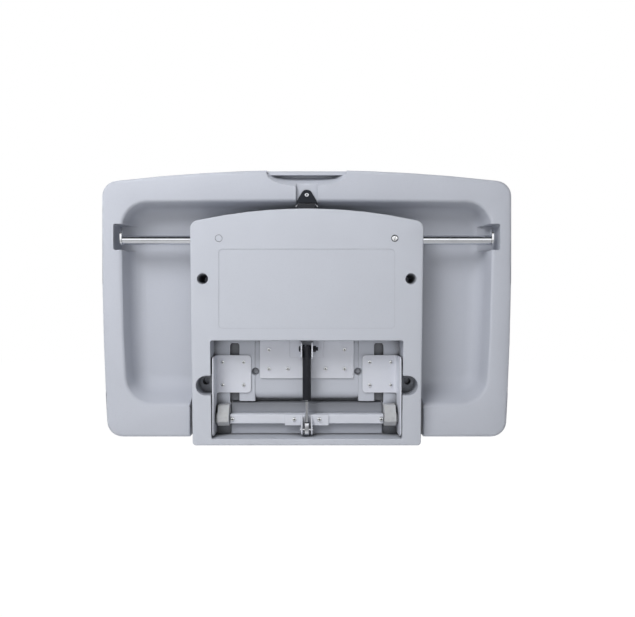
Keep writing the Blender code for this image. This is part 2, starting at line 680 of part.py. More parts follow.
def wall_housing():
    """Moulded housing that is screwed to the wall."""
    obj = solid("wall_housing", loft(slab_rings(HOUSING, WALL_Y, HOUSING_WALL_EDGE,
                                                HOUSING_FRONT_Y, HOUSING_ROOM_EDGE)))
    cut(obj, *recess_cutters())
    cut(obj, *fixing_cutters())
    label = rounded(box_corners(-LABEL_HALF, LABEL_HALF, LABEL_FOOT_Z, LABEL_TOP_Z, LABEL_CORNER))
    bar_bore = post(BAR_RADIUS + SEAT, 2 * HOUSING_HALF_TOP + 2 * OVERRUN)
    cut(obj, prism(label, "Y", WALL_Y - LABEL_DEPTH, WALL_Y + OVERRUN),
        aimed(bar_bore, (1, 0, 0), (-HOUSING_HALF_TOP - OVERRUN, BAR_Y, BAR_Z)),
        wall_hole(BAR_FIXING_X, BAR_Z, WALL_Y, PLUG_LENGTH + HOLE_END_PLAY, PLUG_RADIUS + SEAT, ROUND_SIDES),
        wall_hole(-BAR_FIXING_X, BAR_Z, WALL_Y, BAR_SCREW_SINK, BAR_SCREW_WELL_RADIUS, ROUND_SIDES),
        wall_hole(-BAR_FIXING_X, BAR_Z, WALL_Y, BAR_SETBACK, BAR_SCREW_RADIUS + SEAT))
    pilots = [wall_hole(x, z, FIELD_Y, SCREW_LENGTH - SHEET + HOLE_END_PLAY, SCREW_RADIUS + SEAT, 8)
              for x, z in centre_screw_places()]
    pilots += [wall_hole(sign * x, z, PAD_Y, SCREW_LENGTH - SHEET + HOLE_END_PLAY,
                         SCREW_RADIUS + SEAT, 8)
               for _, sign in SIDES for x, z in bracket_screw_places()]
    cut(obj, *pilots)
    return finish(obj, "housing_plastic")


def hinge_bracket(side, sign):
    """Bent sheet bracket: a screwed plate and a flange that carries the bearing block."""
    foot_z = RECESS_FOOT_Z + BRACKET_FOOT_RISE
    angle_iron = rounded([(BRACKET_INNER_X, PLATE_BACK_Y, 0),
                          (FLANGE_OUTER_X, PLATE_BACK_Y, BRACKET_BEND),
                          (FLANGE_OUTER_X, WALL_Y - FLANGE_TIP, 0),
                          (FLANGE_INNER_X, WALL_Y - FLANGE_TIP, 0),
                          (FLANGE_INNER_X, PLATE_FACE_Y, BRACKET_BEND - SHEET),
                          (BRACKET_INNER_X, PLATE_FACE_Y, 0)])
    obj = solid(f"hinge_bracket_{side}", handed(prism(angle_iron, "Z", foot_z, BRACKET_TOP_Z), sign))
    past_x = FLANGE_OUTER_X + OVERRUN
    front = rounded([(BRACKET_INNER_X, BRACKET_TOP_Z, BRACKET_CORNER),
                     (past_x, BRACKET_TOP_Z, 0), (past_x, foot_z - OVERRUN, 0),
                     (FLANGE_INNER_X - SEAT, foot_z - OVERRUN, 0),
                     (FLANGE_INNER_X - SEAT, BRACKET_PLATE_FOOT_Z, BRACKET_WEB_CORNER),
                     (BRACKET_INNER_X, BRACKET_PLATE_FOOT_Z, BRACKET_CORNER)])
    edge_on = rounded([(PLATE_BACK_Y - OVERRUN, foot_z, 0),
                       (WALL_Y - FLANGE_TIP, foot_z, BRACKET_CORNER),
                       (WALL_Y - FLANGE_TIP, BRACKET_TOP_Z, BRACKET_CORNER),
                       (PLATE_BACK_Y - OVERRUN, BRACKET_TOP_Z, 0)])
    trim(obj, handed(prism(front, "Y", PLATE_BACK_Y - OVERRUN, WALL_Y), sign),
         prism(edge_on, "X", -past_x, past_x))
    cut(obj, *[wall_hole(sign * x, z, PLATE_FACE_Y, SHEET + OVERRUN, SCREW_RADIUS + SEAT, 8)
               for x, z in bracket_screw_places()])
    return finish(obj, "coated_steel")


def bearing_block(side, sign):
    """Nylon block on the bracket's flange, bored for the shaft's journal."""
    outline = [(PLATE_BACK_Y, HINGE_Z - BLOCK_DROP), (HINGE_Y + BLOCK_HEEL, HINGE_Z - BLOCK_DROP),
               (HINGE_Y + BLOCK_NOSE, HINGE_Z - BLOCK_NOSE_FOOT),
               (HINGE_Y + BLOCK_NOSE, HINGE_Z + BLOCK_NOSE_TOP),
               (HINGE_Y + BLOCK_SHOULDER, HINGE_Z + BLOCK_RISE), (PLATE_BACK_Y, HINGE_Z + BLOCK_RISE)]
    inner_x = WINDOW_HALF + BLOCK_WINDOW_GAP
    outer_x = inner_x + BLOCK_WIDTH
    obj = solid(f"bearing_block_{side}", handed(prism(outline, "X", inner_x, outer_x), sign))
    stub = post(BLOCK_STUB_RADIUS, FLANGE_INNER_X - SEAT - outer_x + OVERRUN)
    fuse(obj, handed(aimed(stub, (1, 0, 0), (outer_x - OVERRUN, HINGE_Y, HINGE_Z)), sign))
    bore = post(JOURNAL_RADIUS + SEAT, FLANGE_INNER_X + 2 * OVERRUN - inner_x)
    cut(obj, handed(aimed(bore, (1, 0, 0), (inner_x - OVERRUN, HINGE_Y, HINGE_Z)), sign))
    return finish(obj, "cream_nylon")


def centre_plate():
    """Flat plate that carries the spring bracket."""
    outline = rounded(box_corners(-CENTRE_HALF, CENTRE_HALF, CENTRE_FOOT_Z, CENTRE_TOP_Z, CENTRE_CORNER))
    obj = solid("centre_plate", prism(outline, "Y", CENTRE_BACK_Y, CENTRE_FACE_Y))
    cut(obj, *[wall_hole(x, z, CENTRE_FACE_Y, SHEET + OVERRUN, SCREW_RADIUS + SEAT, 8)
               for x, z in centre_screw_places()])
    return finish(obj, "coated_steel")


def spring_bracket():
    """U bracket whose slotted ears hold the gas spring's top pin."""
    base = rounded(box_corners(-SPRING_BASE_HALF, SPRING_BASE_HALF, SPRING_BASE_FOOT_Z, CENTRE_TOP_Z))
    obj = solid("spring_bracket", prism(base, "Y", SPRING_BASE_Y, SPRING_BASE_Y + SHEET))
    slot_end = SPRING_TOP_Y + SLOT_TRAVEL + TOP_PIN_RADIUS + SLOT_PLAY_Y
    tip = slot_end + SLOT_WALL
    root = SPRING_BASE_Y + SHEET / 2
    ear = rounded([(root, SPRING_BASE_FOOT_Z, 0), (tip, SPRING_BASE_FOOT_Z, EAR_CORNER),
                   (tip, CENTRE_TOP_Z, EAR_CORNER), (root, CENTRE_TOP_Z, 0)])
    fuse(obj, *[handed(prism(ear, "X", EAR_GAP_HALF, EAR_GAP_HALF + SHEET), sign) for _, sign in SIDES])
    reach = EAR_GAP_HALF + SHEET + OVERRUN
    slot = rounded(box_corners(SPRING_TOP_Y - TOP_PIN_RADIUS - SLOT_PLAY_Y, slot_end,
                               SPRING_TOP_Z - TOP_PIN_RADIUS - SLOT_PLAY_Z,
                               SPRING_TOP_Z + TOP_PIN_RADIUS + SLOT_PLAY_Z, TOP_PIN_RADIUS))
    cut(obj, prism(slot, "X", -reach, reach))
    return finish(obj, "coated_steel")


def plate_screws():
    """Pan screws of the three recess plates."""
    for side, sign in SIDES:
        for number, (x, z) in enumerate(bracket_screw_places(), 1):
            obj = solid(f"bracket_screw_{side}_{number}",
                        aimed(screw(SCREW_HEAD_RADIUS, SCREW_HEAD, SCREW_RADIUS, SCREW_LENGTH),
                              (0, 1, 0), (sign * x, PLATE_FACE_Y + SEAT, z)))
            finish(obj, "zinc_steel")
    for number, (x, z) in enumerate(centre_screw_places(), 1):
        obj = solid(f"centre_screw_{number}",
                    aimed(screw(SCREW_HEAD_RADIUS, SCREW_HEAD, SCREW_RADIUS, SCREW_LENGTH),
                          (0, 1, 0), (x, CENTRE_FACE_Y + SEAT, z)))
        finish(obj, "zinc_steel")


def bag_bar():
    """Steel tube through the housing, with end caps, a fixing screw and a blank plug."""
    bore = BAR_RADIUS - BAR_WALL
    tube = turned([(BAR_RADIUS, -BAR_TUBE_HALF), (BAR_RADIUS, BAR_TUBE_HALF),
                   (bore, BAR_TUBE_HALF), (bore, -BAR_TUBE_HALF)], closed=True)
    obj = solid("bag_bar", aimed(tube, (1, 0, 0), (0, BAR_Y, BAR_Z)))
    cut(obj, wall_hole(-BAR_FIXING_X, BAR_Z, BAR_Y + BAR_RADIUS, BAR_RADIUS, BAR_SCREW_RADIUS + SEAT))
    finish(obj, "bright_steel")
    for side, sign in SIDES:
        outline = rounded(box_corners(BAR_Y - CAP_HALF_DEPTH, BAR_Y + CAP_HALF_DEPTH,
                                      BAR_Z - CAP_DROP, BAR_Z + CAP_RISE, CAP_HALF_DEPTH - SEAT))
        start = BAR_TUBE_HALF + SEAT
        cap = solid(f"bar_cap_{side}", handed(prism(outline, "X", start, start + CAP_THICKNESS), sign))
        dome = turned([(0, 0), (BAR_RADIUS, 0), (BAR_RADIUS, CAP_THICKNESS),
                       (BAR_RADIUS - CAP_DOME / 2, CAP_THICKNESS + CAP_DOME / 2),
                       (BAR_RADIUS - 2 * CAP_DOME, CAP_THICKNESS + CAP_DOME),
                       (0, CAP_THICKNESS + CAP_DOME)])
        dome_at = (start + CAP_THICKNESS / 4, BAR_Y, BAR_Z)
        dome.transform(Matrix.Scale(1 - CAP_THICKNESS / 4 / (CAP_THICKNESS + CAP_DOME), 4, (0, 0, 1)))
        spigot = post(bore - SEAT, CAP_SPIGOT + CAP_THICKNESS / 2)
        fuse(cap, handed(aimed(dome, (1, 0, 0), dome_at), sign),
             handed(aimed(spigot, (1, 0, 0), (start - CAP_SPIGOT, BAR_Y, BAR_Z)), sign))
        finish(cap, "zinc_steel")
    fixing = screw(BAR_SCREW_HEAD_RADIUS, BAR_SCREW_HEAD, BAR_SCREW_RADIUS,
                   BAR_SETBACK - BAR_RADIUS - BAR_SCREW_SINK + BAR_SCREW_TIP)
    seat_y = WALL_Y - BAR_SCREW_SINK + SEAT
    obj = solid("bar_screw", aimed(fixing, (0, 1, 0), (-BAR_FIXING_X, seat_y, BAR_Z)))
    finish(obj, "zinc_steel")
    plug = turned([(0, -PLUG_LENGTH), (PLUG_RADIUS, -PLUG_LENGTH), (PLUG_RADIUS, -PLUG_HEAD),
                   (PLUG_RADIUS - PLUG_HEAD, 0), (0, 0)])
    obj = solid("bar_hole_plug", aimed(plug, (0, 1, 0), (BAR_FIXING_X, WALL_Y - PLUG_SINK, BAR_Z)))
    finish(obj, "housing_plastic")


def basin_profile():
    """(depth, share of the wall's slope, extra inset) from the basin's mouth to its floor."""
    mouth, fillet = BASIN_MOUTH_EDGE, BASIN_FLOOR_FILLET
    profile = [(-OVERRUN, 0.0, -mouth)]
    for k in range(EDGE_STEPS + 1):
        angle = QUARTER * (1 - k / EDGE_STEPS)
        profile.append((mouth - mouth * math.sin(angle), mouth * math.cos(angle) - mouth))
    for k in range(BASIN_STEPS + 1):
        angle = QUARTER * k / BASIN_STEPS
        profile.append((BASIN_DEPTH - fillet + fillet * math.sin(angle), fillet * (1 - math.cos(angle))))
    return profile[:1] + [(depth, depth / BASIN_DEPTH, extra) for depth, extra in profile[1:]]


def basin_cutter():
    """Tray-shaped hollow with a rounded mouth, sloping walls and a filleted floor."""
    return loft([panel_ring(BASIN, RIM_Y - depth, BASIN_SIDE_SLOPE * share + extra,
                            BASIN_TOP_SLOPE * share + extra, BASIN_FOOT_SLOPE * share + extra)
                 for depth, share, extra in basin_profile()])


def half_oval(half, drop, top_z, y):
    """D-shaped ring, straight along its top and bowed below."""
    ring = []
    for k in range(SCOOP_STEPS + 1):
        angle = math.pi * k / SCOOP_STEPS
        ring.append(placed("Y", -half * math.cos(angle), top_z - drop * math.sin(angle), y))
    return ring


def scoop_cutters():
    """Finger scoop at the top of the bed: a step behind the lip and a sloping hollow under it."""
    lip_z = BED_CROWN_Z - SCOOP_LIP
    step = [(RIM_Y + OVERRUN, lip_z), (RIM_Y + OVERRUN, BED_CROWN_Z + OVERRUN),
            (SCOOP_STEP_Y - SCOOP_LIP_ROUND, BED_CROWN_Z + OVERRUN)]
    for k in range(EDGE_STEPS + 1):
        angle = QUARTER * k / EDGE_STEPS
        step.append((SCOOP_STEP_Y - SCOOP_LIP_ROUND * (1 - math.sin(angle)),
                     BED_CROWN_Z - SCOOP_LIP_ROUND * (1 - math.cos(angle))))
    yield prism([*step, (SCOOP_STEP_Y, lip_z)], "X", -SCOOP_HALF, SCOOP_HALF)
    yield loft([half_oval(SCOOP_HALF, SCOOP_DROP, lip_z, RIM_Y + OVERRUN),
                half_oval(SCOOP_HALF, SCOOP_DROP, lip_z, RIM_Y),
                half_oval(SCOOP_FLOOR_HALF, SCOOP_FLOOR_DROP, lip_z, SCOOP_FLOOR_Y)])


def knuckle():
    """Hinge knuckle: a neck off the bed's slab and a round boss behind and below the shaft."""
    face = SHAFT_ROOM_Y - KNUCKLE_SEAT
    start = math.pi - math.asin(NECK_FOOT / KNUCKLE_RADIUS)
    end = 3 * QUARTER
    toe_z = HINGE_Z - SHAFT_SIDE / 2 - TOE_GAP
    outline = [(face, HINGE_Z + KNUCKLE_TOP), (BED_FRONT_Y + NECK_SHY, HINGE_Z + KNUCKLE_TOP),
               (BED_FRONT_Y + NECK_SHY, HINGE_Z + NECK_FOOT)]
    for k in range(2 * CORNER_STEPS + 1):
        angle = start + (end - start) * k / (2 * CORNER_STEPS)
        outline.append((HINGE_Y + KNUCKLE_RADIUS * math.cos(angle),
                        HINGE_Z + KNUCKLE_RADIUS * math.sin(angle)))
    outline += [(HINGE_Y, toe_z), (face, toe_z)]
    return prism(outline, "X", -KNUCKLE_HALF, KNUCKLE_HALF)


def housing_notch():
    """Cutter that lets the housing through the bed's foot rim and ends the slab above it."""
    half = max(HOUSING_HALF_TOP, HOUSING_HALF_FOOT) + NOTCH_GAP
    top, low = BASIN_FOOT_Z + NOTCH_RISE, BED_FOOT_Z - OVERRUN
    outline = rounded([(RIM_Y + OVERRUN, top, 0), (RIM_Y + OVERRUN, low, 0),
                       (BED_FRONT_Y - OVERRUN, low, 0), (BED_FRONT_Y - OVERRUN, HINGE_Z + SLAB_RISE, 0),
                       (FLOOR_Y, HINGE_Z + SLAB_RISE, SLAB_EDGE), (FLOOR_Y, top, 0)])
    return prism(outline, "X", -half, half)


def bar_pocket(sign):
    """Cutter for the pocket that takes one end of the bag bar."""
    outer = BED_HALF_TOP - BAR_POCKET_RIM
    outline = rounded(box_corners(outer - BAR_POCKET_LENGTH, outer,
                                  BAR_Z - BAR_POCKET_DROP, BAR_Z + BAR_POCKET_RISE, BAR_POCKET_CORNER))
    return handed(prism(outline, "Y", RIM_Y - BAR_POCKET_DEPTH, RIM_Y + OVERRUN), sign)


FRONT_BAR_Z = BASIN_TOP_Z - ANCHOR_FRONT_REST
FRONT_ANCHOR_Y = CHANNEL_Y + SEAT
REAR_ANCHOR_Y = FLOOR_Y + ANCHOR_BOSS_RISE + SEAT
ANCHORS = (("front", FRONT_BAR_Z, FRONT_ANCHOR_Y, 1), ("rear", ANCHOR_REAR_Z, REAR_ANCHOR_Y, -1))


def bed_shell(pivot):
    """Moulded bed: rim, basin, hinge knuckle, handle scoop and pockets."""
    obj = solid("bed_shell", loft(slab_rings(BED, RIM_Y, BED_RIM_EDGE, BED_FRONT_Y, BED_FRONT_EDGE)))
    cut(obj, basin_cutter())
    cut(obj, housing_notch())
    fuse(obj, knuckle())
    channel = rounded(box_corners(-CHANNEL_HALF, CHANNEL_HALF, BASIN_TOP_Z - CHANNEL_RUN_OUT,
                                  BED_CROWN_Z - SCOOP_LIP - SCOOP_DROP / 2))
    cut(obj, *scoop_cutters(), *[bar_pocket(sign) for _, sign in SIDES],
        prism(channel, "Y", CHANNEL_Y, RIM_Y + OVERRUN))
    boss_far = ANCHOR_REAR_Z - ANCHOR_LENGTH - ANCHOR_BOSS_MARGIN
    boss_near = ANCHOR_REAR_Z - ANCHOR_BAR - ANCHOR_SLOT - ANCHOR_BOSS_MARGIN
    boss_half = ANCHOR_TIP_RADIUS + ANCHOR_BOSS_MARGIN
    boss = rounded(box_corners(-boss_half, boss_half, boss_far, boss_near, ANCHOR_BOSS_MARGIN))
    fuse(obj, prism(boss, "Y", FLOOR_Y - ANCHOR_BOSS_RISE, FLOOR_Y + ANCHOR_BOSS_RISE))
    bite = ANCHOR_SCREW_LENGTH - ANCHOR_THICKNESS + HOLE_END_PLAY
    holes = [wall_hole(0, bar_z + up * (ANCHOR_LENGTH - ANCHOR_TIP_RADIUS), plate_y - SEAT, bite,
                       SCREW_RADIUS + SEAT) for _, bar_z, plate_y, up in ANCHORS]
    holes += [wall_hole(sign * SHAFT_BOLT_X, HINGE_Z, SHAFT_ROOM_Y - KNUCKLE_SEAT,
                        BOLT_BITE + HOLE_END_PLAY, BOLT_RADIUS + SEAT) for _, sign in SIDES]
    cut(obj, *holes)
    return finish(obj, "bed_plastic", pivot)


def hinge_shaft(pivot):
    """Square bar with a round journal at each end, bored for its bolts and screws."""
    square = rounded(box_corners(SHAFT_ROOM_Y, SHAFT_WALL_Y, HINGE_Z - SHAFT_SIDE / 2,
                                 HINGE_Z + SHAFT_SIDE / 2, SHAFT_EDGE), EDGE_STEPS)
    obj = solid("hinge_shaft", prism(square, "X", -SQUARE_HALF, SQUARE_HALF))
    end = FLANGE_INNER_X - JOURNAL_END_PLAY
    journal = [handed(aimed(post(JOURNAL_RADIUS, end - SQUARE_HALF + OVERRUN), (1, 0, 0),
                            (SQUARE_HALF - OVERRUN, HINGE_Y, HINGE_Z)), sign) for _, sign in SIDES]
    fuse(obj, *journal)
    holes = []
    for _, sign in SIDES:
        holes.append(wall_hole(sign * SHAFT_BOLT_X, HINGE_Z, SHAFT_WALL_Y,
                               SHAFT_SIDE + OVERRUN, BOLT_RADIUS + SEAT))
        holes.append(wall_hole(sign * CRANK_SCREW_X, HINGE_Z, SHAFT_WALL_Y,
                               CRANK_SCREW_BITE + HOLE_END_PLAY, SCREW_RADIUS + SEAT))
    cut(obj, *holes)
    finish(obj, "coated_steel", pivot)
    for side, sign in SIDES:
        bolt = screw(BOLT_HEAD_RADIUS, BOLT_HEAD, BOLT_RADIUS, SHAFT_SIDE + BOLT_BITE)
        obj = solid(f"shaft_bolt_{side}",
                    aimed(bolt, (0, 1, 0), (sign * SHAFT_BOLT_X, SHAFT_WALL_Y + SEAT, HINGE_Z)))
        finish(obj, "zinc_steel", pivot)


def crank(pivot):
    """Clevis on the shaft that pushes the gas spring, with its screws and pin."""
    base = rounded(box_corners(-CRANK_BASE_HALF, CRANK_BASE_HALF, HINGE_Z - CRANK_BASE_DROP,
                               HINGE_Z + CRANK_BASE_RISE))
    obj = solid("crank_clevis", prism(base, "Y", CRANK_BASE_Y, CRANK_BASE_Y + SHEET))
    root = CRANK_BASE_Y + SHEET / 2
    foot = SPRING_FOOT
    tip = foot.y + CRANK_EAR_RADIUS
    ear = rounded([(root, HINGE_Z + CRANK_EAR_TOP, 0), (root, foot.z - CRANK_EAR_RADIUS, EAR_CORNER),
                   (tip, foot.z - CRANK_EAR_RADIUS, EAR_CORNER),
                   (tip, foot.z + CRANK_EAR_RADIUS, EAR_CORNER)])
    fuse(obj, *[handed(prism(ear, "X", CRANK_EAR_GAP_HALF, CRANK_EAR_GAP_HALF + SHEET), sign)
                for _, sign in SIDES])
    reach = CRANK_EAR_GAP_HALF + SHEET
    eye = post(CRANK_PIN_RADIUS + SEAT, 2 * (reach + OVERRUN), SMALL_SIDES)
    cut(obj, aimed(eye, (1, 0, 0), (-reach - OVERRUN, foot.y, foot.z)),
        *[wall_hole(sign * CRANK_SCREW_X, HINGE_Z, CRANK_BASE_Y + SHEET, SHEET + OVERRUN,
                    SCREW_RADIUS + SEAT) for _, sign in SIDES])
    finish(obj, "coated_steel", pivot)
    for side, sign in SIDES:
        fixing = screw(BOLT_HEAD_RADIUS, SCREW_HEAD, SCREW_RADIUS, SHEET + CRANK_SCREW_BITE)
        obj = solid(f"crank_screw_{side}",
                    aimed(fixing, (0, 1, 0), (sign * CRANK_SCREW_X, CRANK_BASE_Y + SHEET + SEAT, HINGE_Z)))
        finish(obj, "zinc_steel", pivot)
    pin = screw(CRANK_PIN_HEAD_RADIUS, CRANK_PIN_HEAD, CRANK_PIN_RADIUS, 2 * reach + CRANK_PIN_TAIL)
    obj = solid("crank_pin", aimed(pin, (1, 0, 0), (reach + SEAT, foot.y, foot.z)))
    finish(obj, "zinc_steel", pivot)


def spring_frame(at):
    """Frame at a spring pivot whose +Z runs up the spring's axis."""
    turn = Vector((0, 0, 1)).rotation_difference(SPRING_TOP - SPRING_FOOT)
    return Matrix.Translation(at) @ turn.to_matrix().to_4x4()


def gas_rod(pivot):
    """Piston rod with its flat end eye, built up from the foot pivot."""
    eye = rounded(box_corners(-ROD_EYE_HALF_DEPTH, ROD_EYE_HALF_DEPTH, -ROD_EYE_DROP, ROD_EYE_RISE,
                              ROD_EYE_HALF_DEPTH - SEAT))
    bm = prism(eye, "X", -ROD_EYE_THICKNESS / 2, ROD_EYE_THICKNESS / 2)
    bm.transform(spring_frame(SPRING_FOOT))
    obj = solid("gas_rod", bm)
    gland_z = SPRING_LENGTH - CYLINDER_LENGTH + CYLINDER_GLAND
    piston_z = gland_z + PISTON_END_PLAY
    rod = turned([(0, ROD_EYE_RISE - ROD_RADIUS), (ROD_RADIUS, ROD_EYE_RISE - ROD_RADIUS),
                  (ROD_RADIUS, piston_z), (PISTON_RADIUS, piston_z),
                  (PISTON_RADIUS, piston_z + PISTON_LENGTH), (0, piston_z + PISTON_LENGTH)])
    rod.transform(spring_frame(SPRING_FOOT))
    fuse(obj, rod)
    reach = ROD_EYE_THICKNESS / 2 + OVERRUN
    bore = aimed(post(CRANK_PIN_RADIUS + SEAT, 2 * reach, SMALL_SIDES), (1, 0, 0),
                 (-reach, SPRING_FOOT.y, SPRING_FOOT.z))
    cut(obj, bore)
    return finish(obj, "bright_steel", pivot)


def gas_cylinder(pivot):
    """Cylinder hung from the top pin, hollow below its cap and closed round the rod."""
    outer, inner = CYLINDER_RADIUS, CYLINDER_RADIUS - CYLINDER_WALL
    gland = CYLINDER_GLAND - CYLINDER_LENGTH
    edge = CYLINDER_CAP_DROP / 2
    profile = [(0, CYLINDER_TOP_REACH), (outer - edge, CYLINDER_TOP_REACH),
               (outer, CYLINDER_TOP_REACH - edge), (outer, edge - CYLINDER_LENGTH),
               (outer - edge, -CYLINDER_LENGTH),
               (ROD_RADIUS + SEAT, -CYLINDER_LENGTH), (ROD_RADIUS + SEAT, gland), (inner, gland),
               (inner, -CHAMBER_TOP), (0, -CHAMBER_TOP)]
    bm = turned(profile)
    bm.transform(spring_frame(SPRING_TOP))
    obj = solid("gas_cylinder", bm)
    reach = CYLINDER_RADIUS + OVERRUN
    cut(obj, aimed(post(TOP_PIN_RADIUS + SEAT, 2 * reach, SMALL_SIDES), (1, 0, 0),
                   (-reach, SPRING_TOP.y, SPRING_TOP.z)))
    finish(obj, "black_enamel", pivot)
    reach = EAR_GAP_HALF + SHEET + SEAT
    length = 2 * reach + TOP_PIN_TAIL
    pin = screw(TOP_PIN_HEAD_RADIUS, TOP_PIN_HEAD, TOP_PIN_RADIUS, length)
    obj = solid("spring_pin", aimed(pin, (1, 0, 0), (reach, SPRING_TOP.y, SPRING_TOP.z)))
    finish(obj, "black_enamel", pivot)
    corners = 6
    hexagon = [(SPRING_TOP.y + TOP_NUT_RADIUS * math.cos(2 * math.pi * k / corners),
                SPRING_TOP.z + TOP_NUT_RADIUS * math.sin(2 * math.pi * k / corners))
               for k in range(corners)]
    obj = solid("spring_pin_nut", prism(hexagon, "X", -reach - TOP_NUT_HEIGHT, -reach))
    cut(obj, aimed(post(TOP_PIN_RADIUS + SEAT, TOP_NUT_HEIGHT + 2 * OVERRUN, SMALL_SIDES), (1, 0, 0),
                   (-reach - TOP_NUT_HEIGHT - OVERRUN, SPRING_TOP.y, SPRING_TOP.z)))
    finish(obj, "black_enamel", pivot)


def strap_anchor(place, bar_z, plate_y, up, pivot):
    """Rounded triangular plate with a strap slot and one screw."""
    outline = rounded([(-ANCHOR_HALF, bar_z, ANCHOR_CORNER), (ANCHOR_HALF, bar_z, ANCHOR_CORNER),
                       (ANCHOR_HALF, bar_z + up * ANCHOR_SHOULDER, ANCHOR_CORNER),
                       (ANCHOR_TIP_HALF, bar_z + up * ANCHOR_LENGTH, ANCHOR_TIP_RADIUS),
                       (-ANCHOR_TIP_HALF, bar_z + up * ANCHOR_LENGTH, ANCHOR_TIP_RADIUS),
                       (-ANCHOR_HALF, bar_z + up * ANCHOR_SHOULDER, ANCHOR_CORNER)])
    obj = solid(f"strap_anchor_{place}", prism(outline, "Y", plate_y, plate_y + ANCHOR_THICKNESS))
    slot_half = STRAP_HALF + ANCHOR_SLOT_END
    near, far = sorted((bar_z + up * ANCHOR_BAR, bar_z + up * (ANCHOR_BAR + ANCHOR_SLOT)))
    slot = rounded(box_corners(-slot_half, slot_half, near, far, ANCHOR_SLOT_END))
    screw_z = bar_z + up * (ANCHOR_LENGTH - ANCHOR_TIP_RADIUS)
    face = plate_y + ANCHOR_THICKNESS
    cut(obj, prism(slot, "Y", plate_y - OVERRUN, face + OVERRUN),
        wall_hole(0, screw_z, face, ANCHOR_THICKNESS + OVERRUN, SCREW_RADIUS + SEAT))
    finish(obj, "black_plastic", pivot)
    fixing = screw(ANCHOR_SCREW_HEAD_RADIUS, ANCHOR_SCREW_HEAD, SCREW_RADIUS, ANCHOR_SCREW_LENGTH)
    obj = solid(f"anchor_screw_{place}", aimed(fixing, (0, 1, 0), (0, face + SEAT, screw_z)))
    finish(obj, "bright_steel", pivot)


def wrap_path(bar_z, plate_y, up):
    """Strap centreline from its short tail, through the anchor's slot, to its room side."""
    middle = plate_y + ANCHOR_THICKNESS / 2
    radius = ANCHOR_THICKNESS / 2 + SEAT + STRAP_THICKNESS / 2
    turn_z = bar_z + up * ANCHOR_BAR
    path = [(middle + radius, turn_z - up * STRAP_TAIL)]
    for k in range(STRAP_WRAP_STEPS + 1):
        angle = math.pi * k / STRAP_WRAP_STEPS
        path.append((middle + radius * math.cos(angle), turn_z + up * radius * math.sin(angle)))
    return path


def ribbon(path, thickness):
    """Outline of a strap of even thickness along a centreline."""
    sides = ([], [])
    for i, point in enumerate(path):
        before = Vector(path[max(i - 1, 0)])
        after = Vector(path[min(i + 1, len(path) - 1)])
        along = (after - before).normalized()
        normal = Vector((-along.y, along.x)) * thickness / 2
        sides[0].append(tuple(Vector(point) + normal))
        sides[1].append(tuple(Vector(point) - normal))
    return sides[0] + sides[1][::-1]


def strap(pivot):
    """Two lengths of webbing, lying on the bed's floor, and the buckle between them."""
    lift = STRAP_THICKNESS / 2 + SEAT
    floor = FLOOR_Y + lift
    buckle_foot = BUCKLE_TOP_Z - BUCKLE_LENGTH
    fillet = BASIN_FLOOR_FILLET
    path = wrap_path(FRONT_BAR_Z, FRONT_ANCHOR_Y, 1)
    run_z = FRONT_BAR_Z - STRAP_RUN_DROP
    bend_y = path[-1][0] - STRAP_BEND
    for k in range(EDGE_STEPS + 1):
        angle = QUARTER * k / EDGE_STEPS
        path.append((bend_y + STRAP_BEND * math.cos(angle), run_z + STRAP_BEND * (1 - math.sin(angle))))
    for k in range(BASIN_STEPS + 1):
        angle = QUARTER * k / BASIN_STEPS
        path.append((FLOOR_Y + fillet - (fillet - lift) * math.sin(angle),
                     run_z - (fillet - lift) * (1 - math.cos(angle))))
    path.append((floor, BUCKLE_TOP_Z + SEAT))
    front = solid("strap_front", prism(ribbon(path, STRAP_THICKNESS), "X", -STRAP_HALF, STRAP_HALF))
    finish(front, "black_webbing", pivot)
    path = wrap_path(ANCHOR_REAR_Z, REAR_ANCHOR_Y, -1)
    path += [(path[-1][0], ANCHOR_REAR_Z), (floor, ANCHOR_REAR_Z + ANCHOR_SHOULDER),
             (floor, buckle_foot - BUCKLE_TONGUE_LENGTH - 2 * SEAT)]
    rear = solid("strap_rear", prism(ribbon(path, STRAP_THICKNESS), "X", -STRAP_HALF, STRAP_HALF))
    finish(rear, "black_webbing", pivot)
    for name, half, thickness, high, low in (
            ("buckle_body", BUCKLE_HALF, BUCKLE_THICKNESS, BUCKLE_TOP_Z, buckle_foot),
            ("buckle_tongue", BUCKLE_TONGUE_HALF, BUCKLE_TONGUE_THICKNESS, buckle_foot - SEAT,
             buckle_foot - SEAT - BUCKLE_TONGUE_LENGTH)):
        outline = rounded(box_corners(-half, half, low, high, BUCKLE_CORNER))
        inner = rounded(box_corners(-half + BUCKLE_EDGE, half - BUCKLE_EDGE, low + BUCKLE_EDGE,
                                    high - BUCKLE_EDGE, BUCKLE_CORNER - BUCKLE_EDGE))
        bottom = FLOOR_Y + SEAT
        bm = loft([[placed("Y", x, z, bottom) for x, z in outline],
                   [placed("Y", x, z, bottom + thickness - BUCKLE_EDGE) for x, z in outline],
                   [placed("Y", x, z, bottom + thickness) for x, z in inner]])
        finish(solid(name, bm), "black_plastic", pivot)


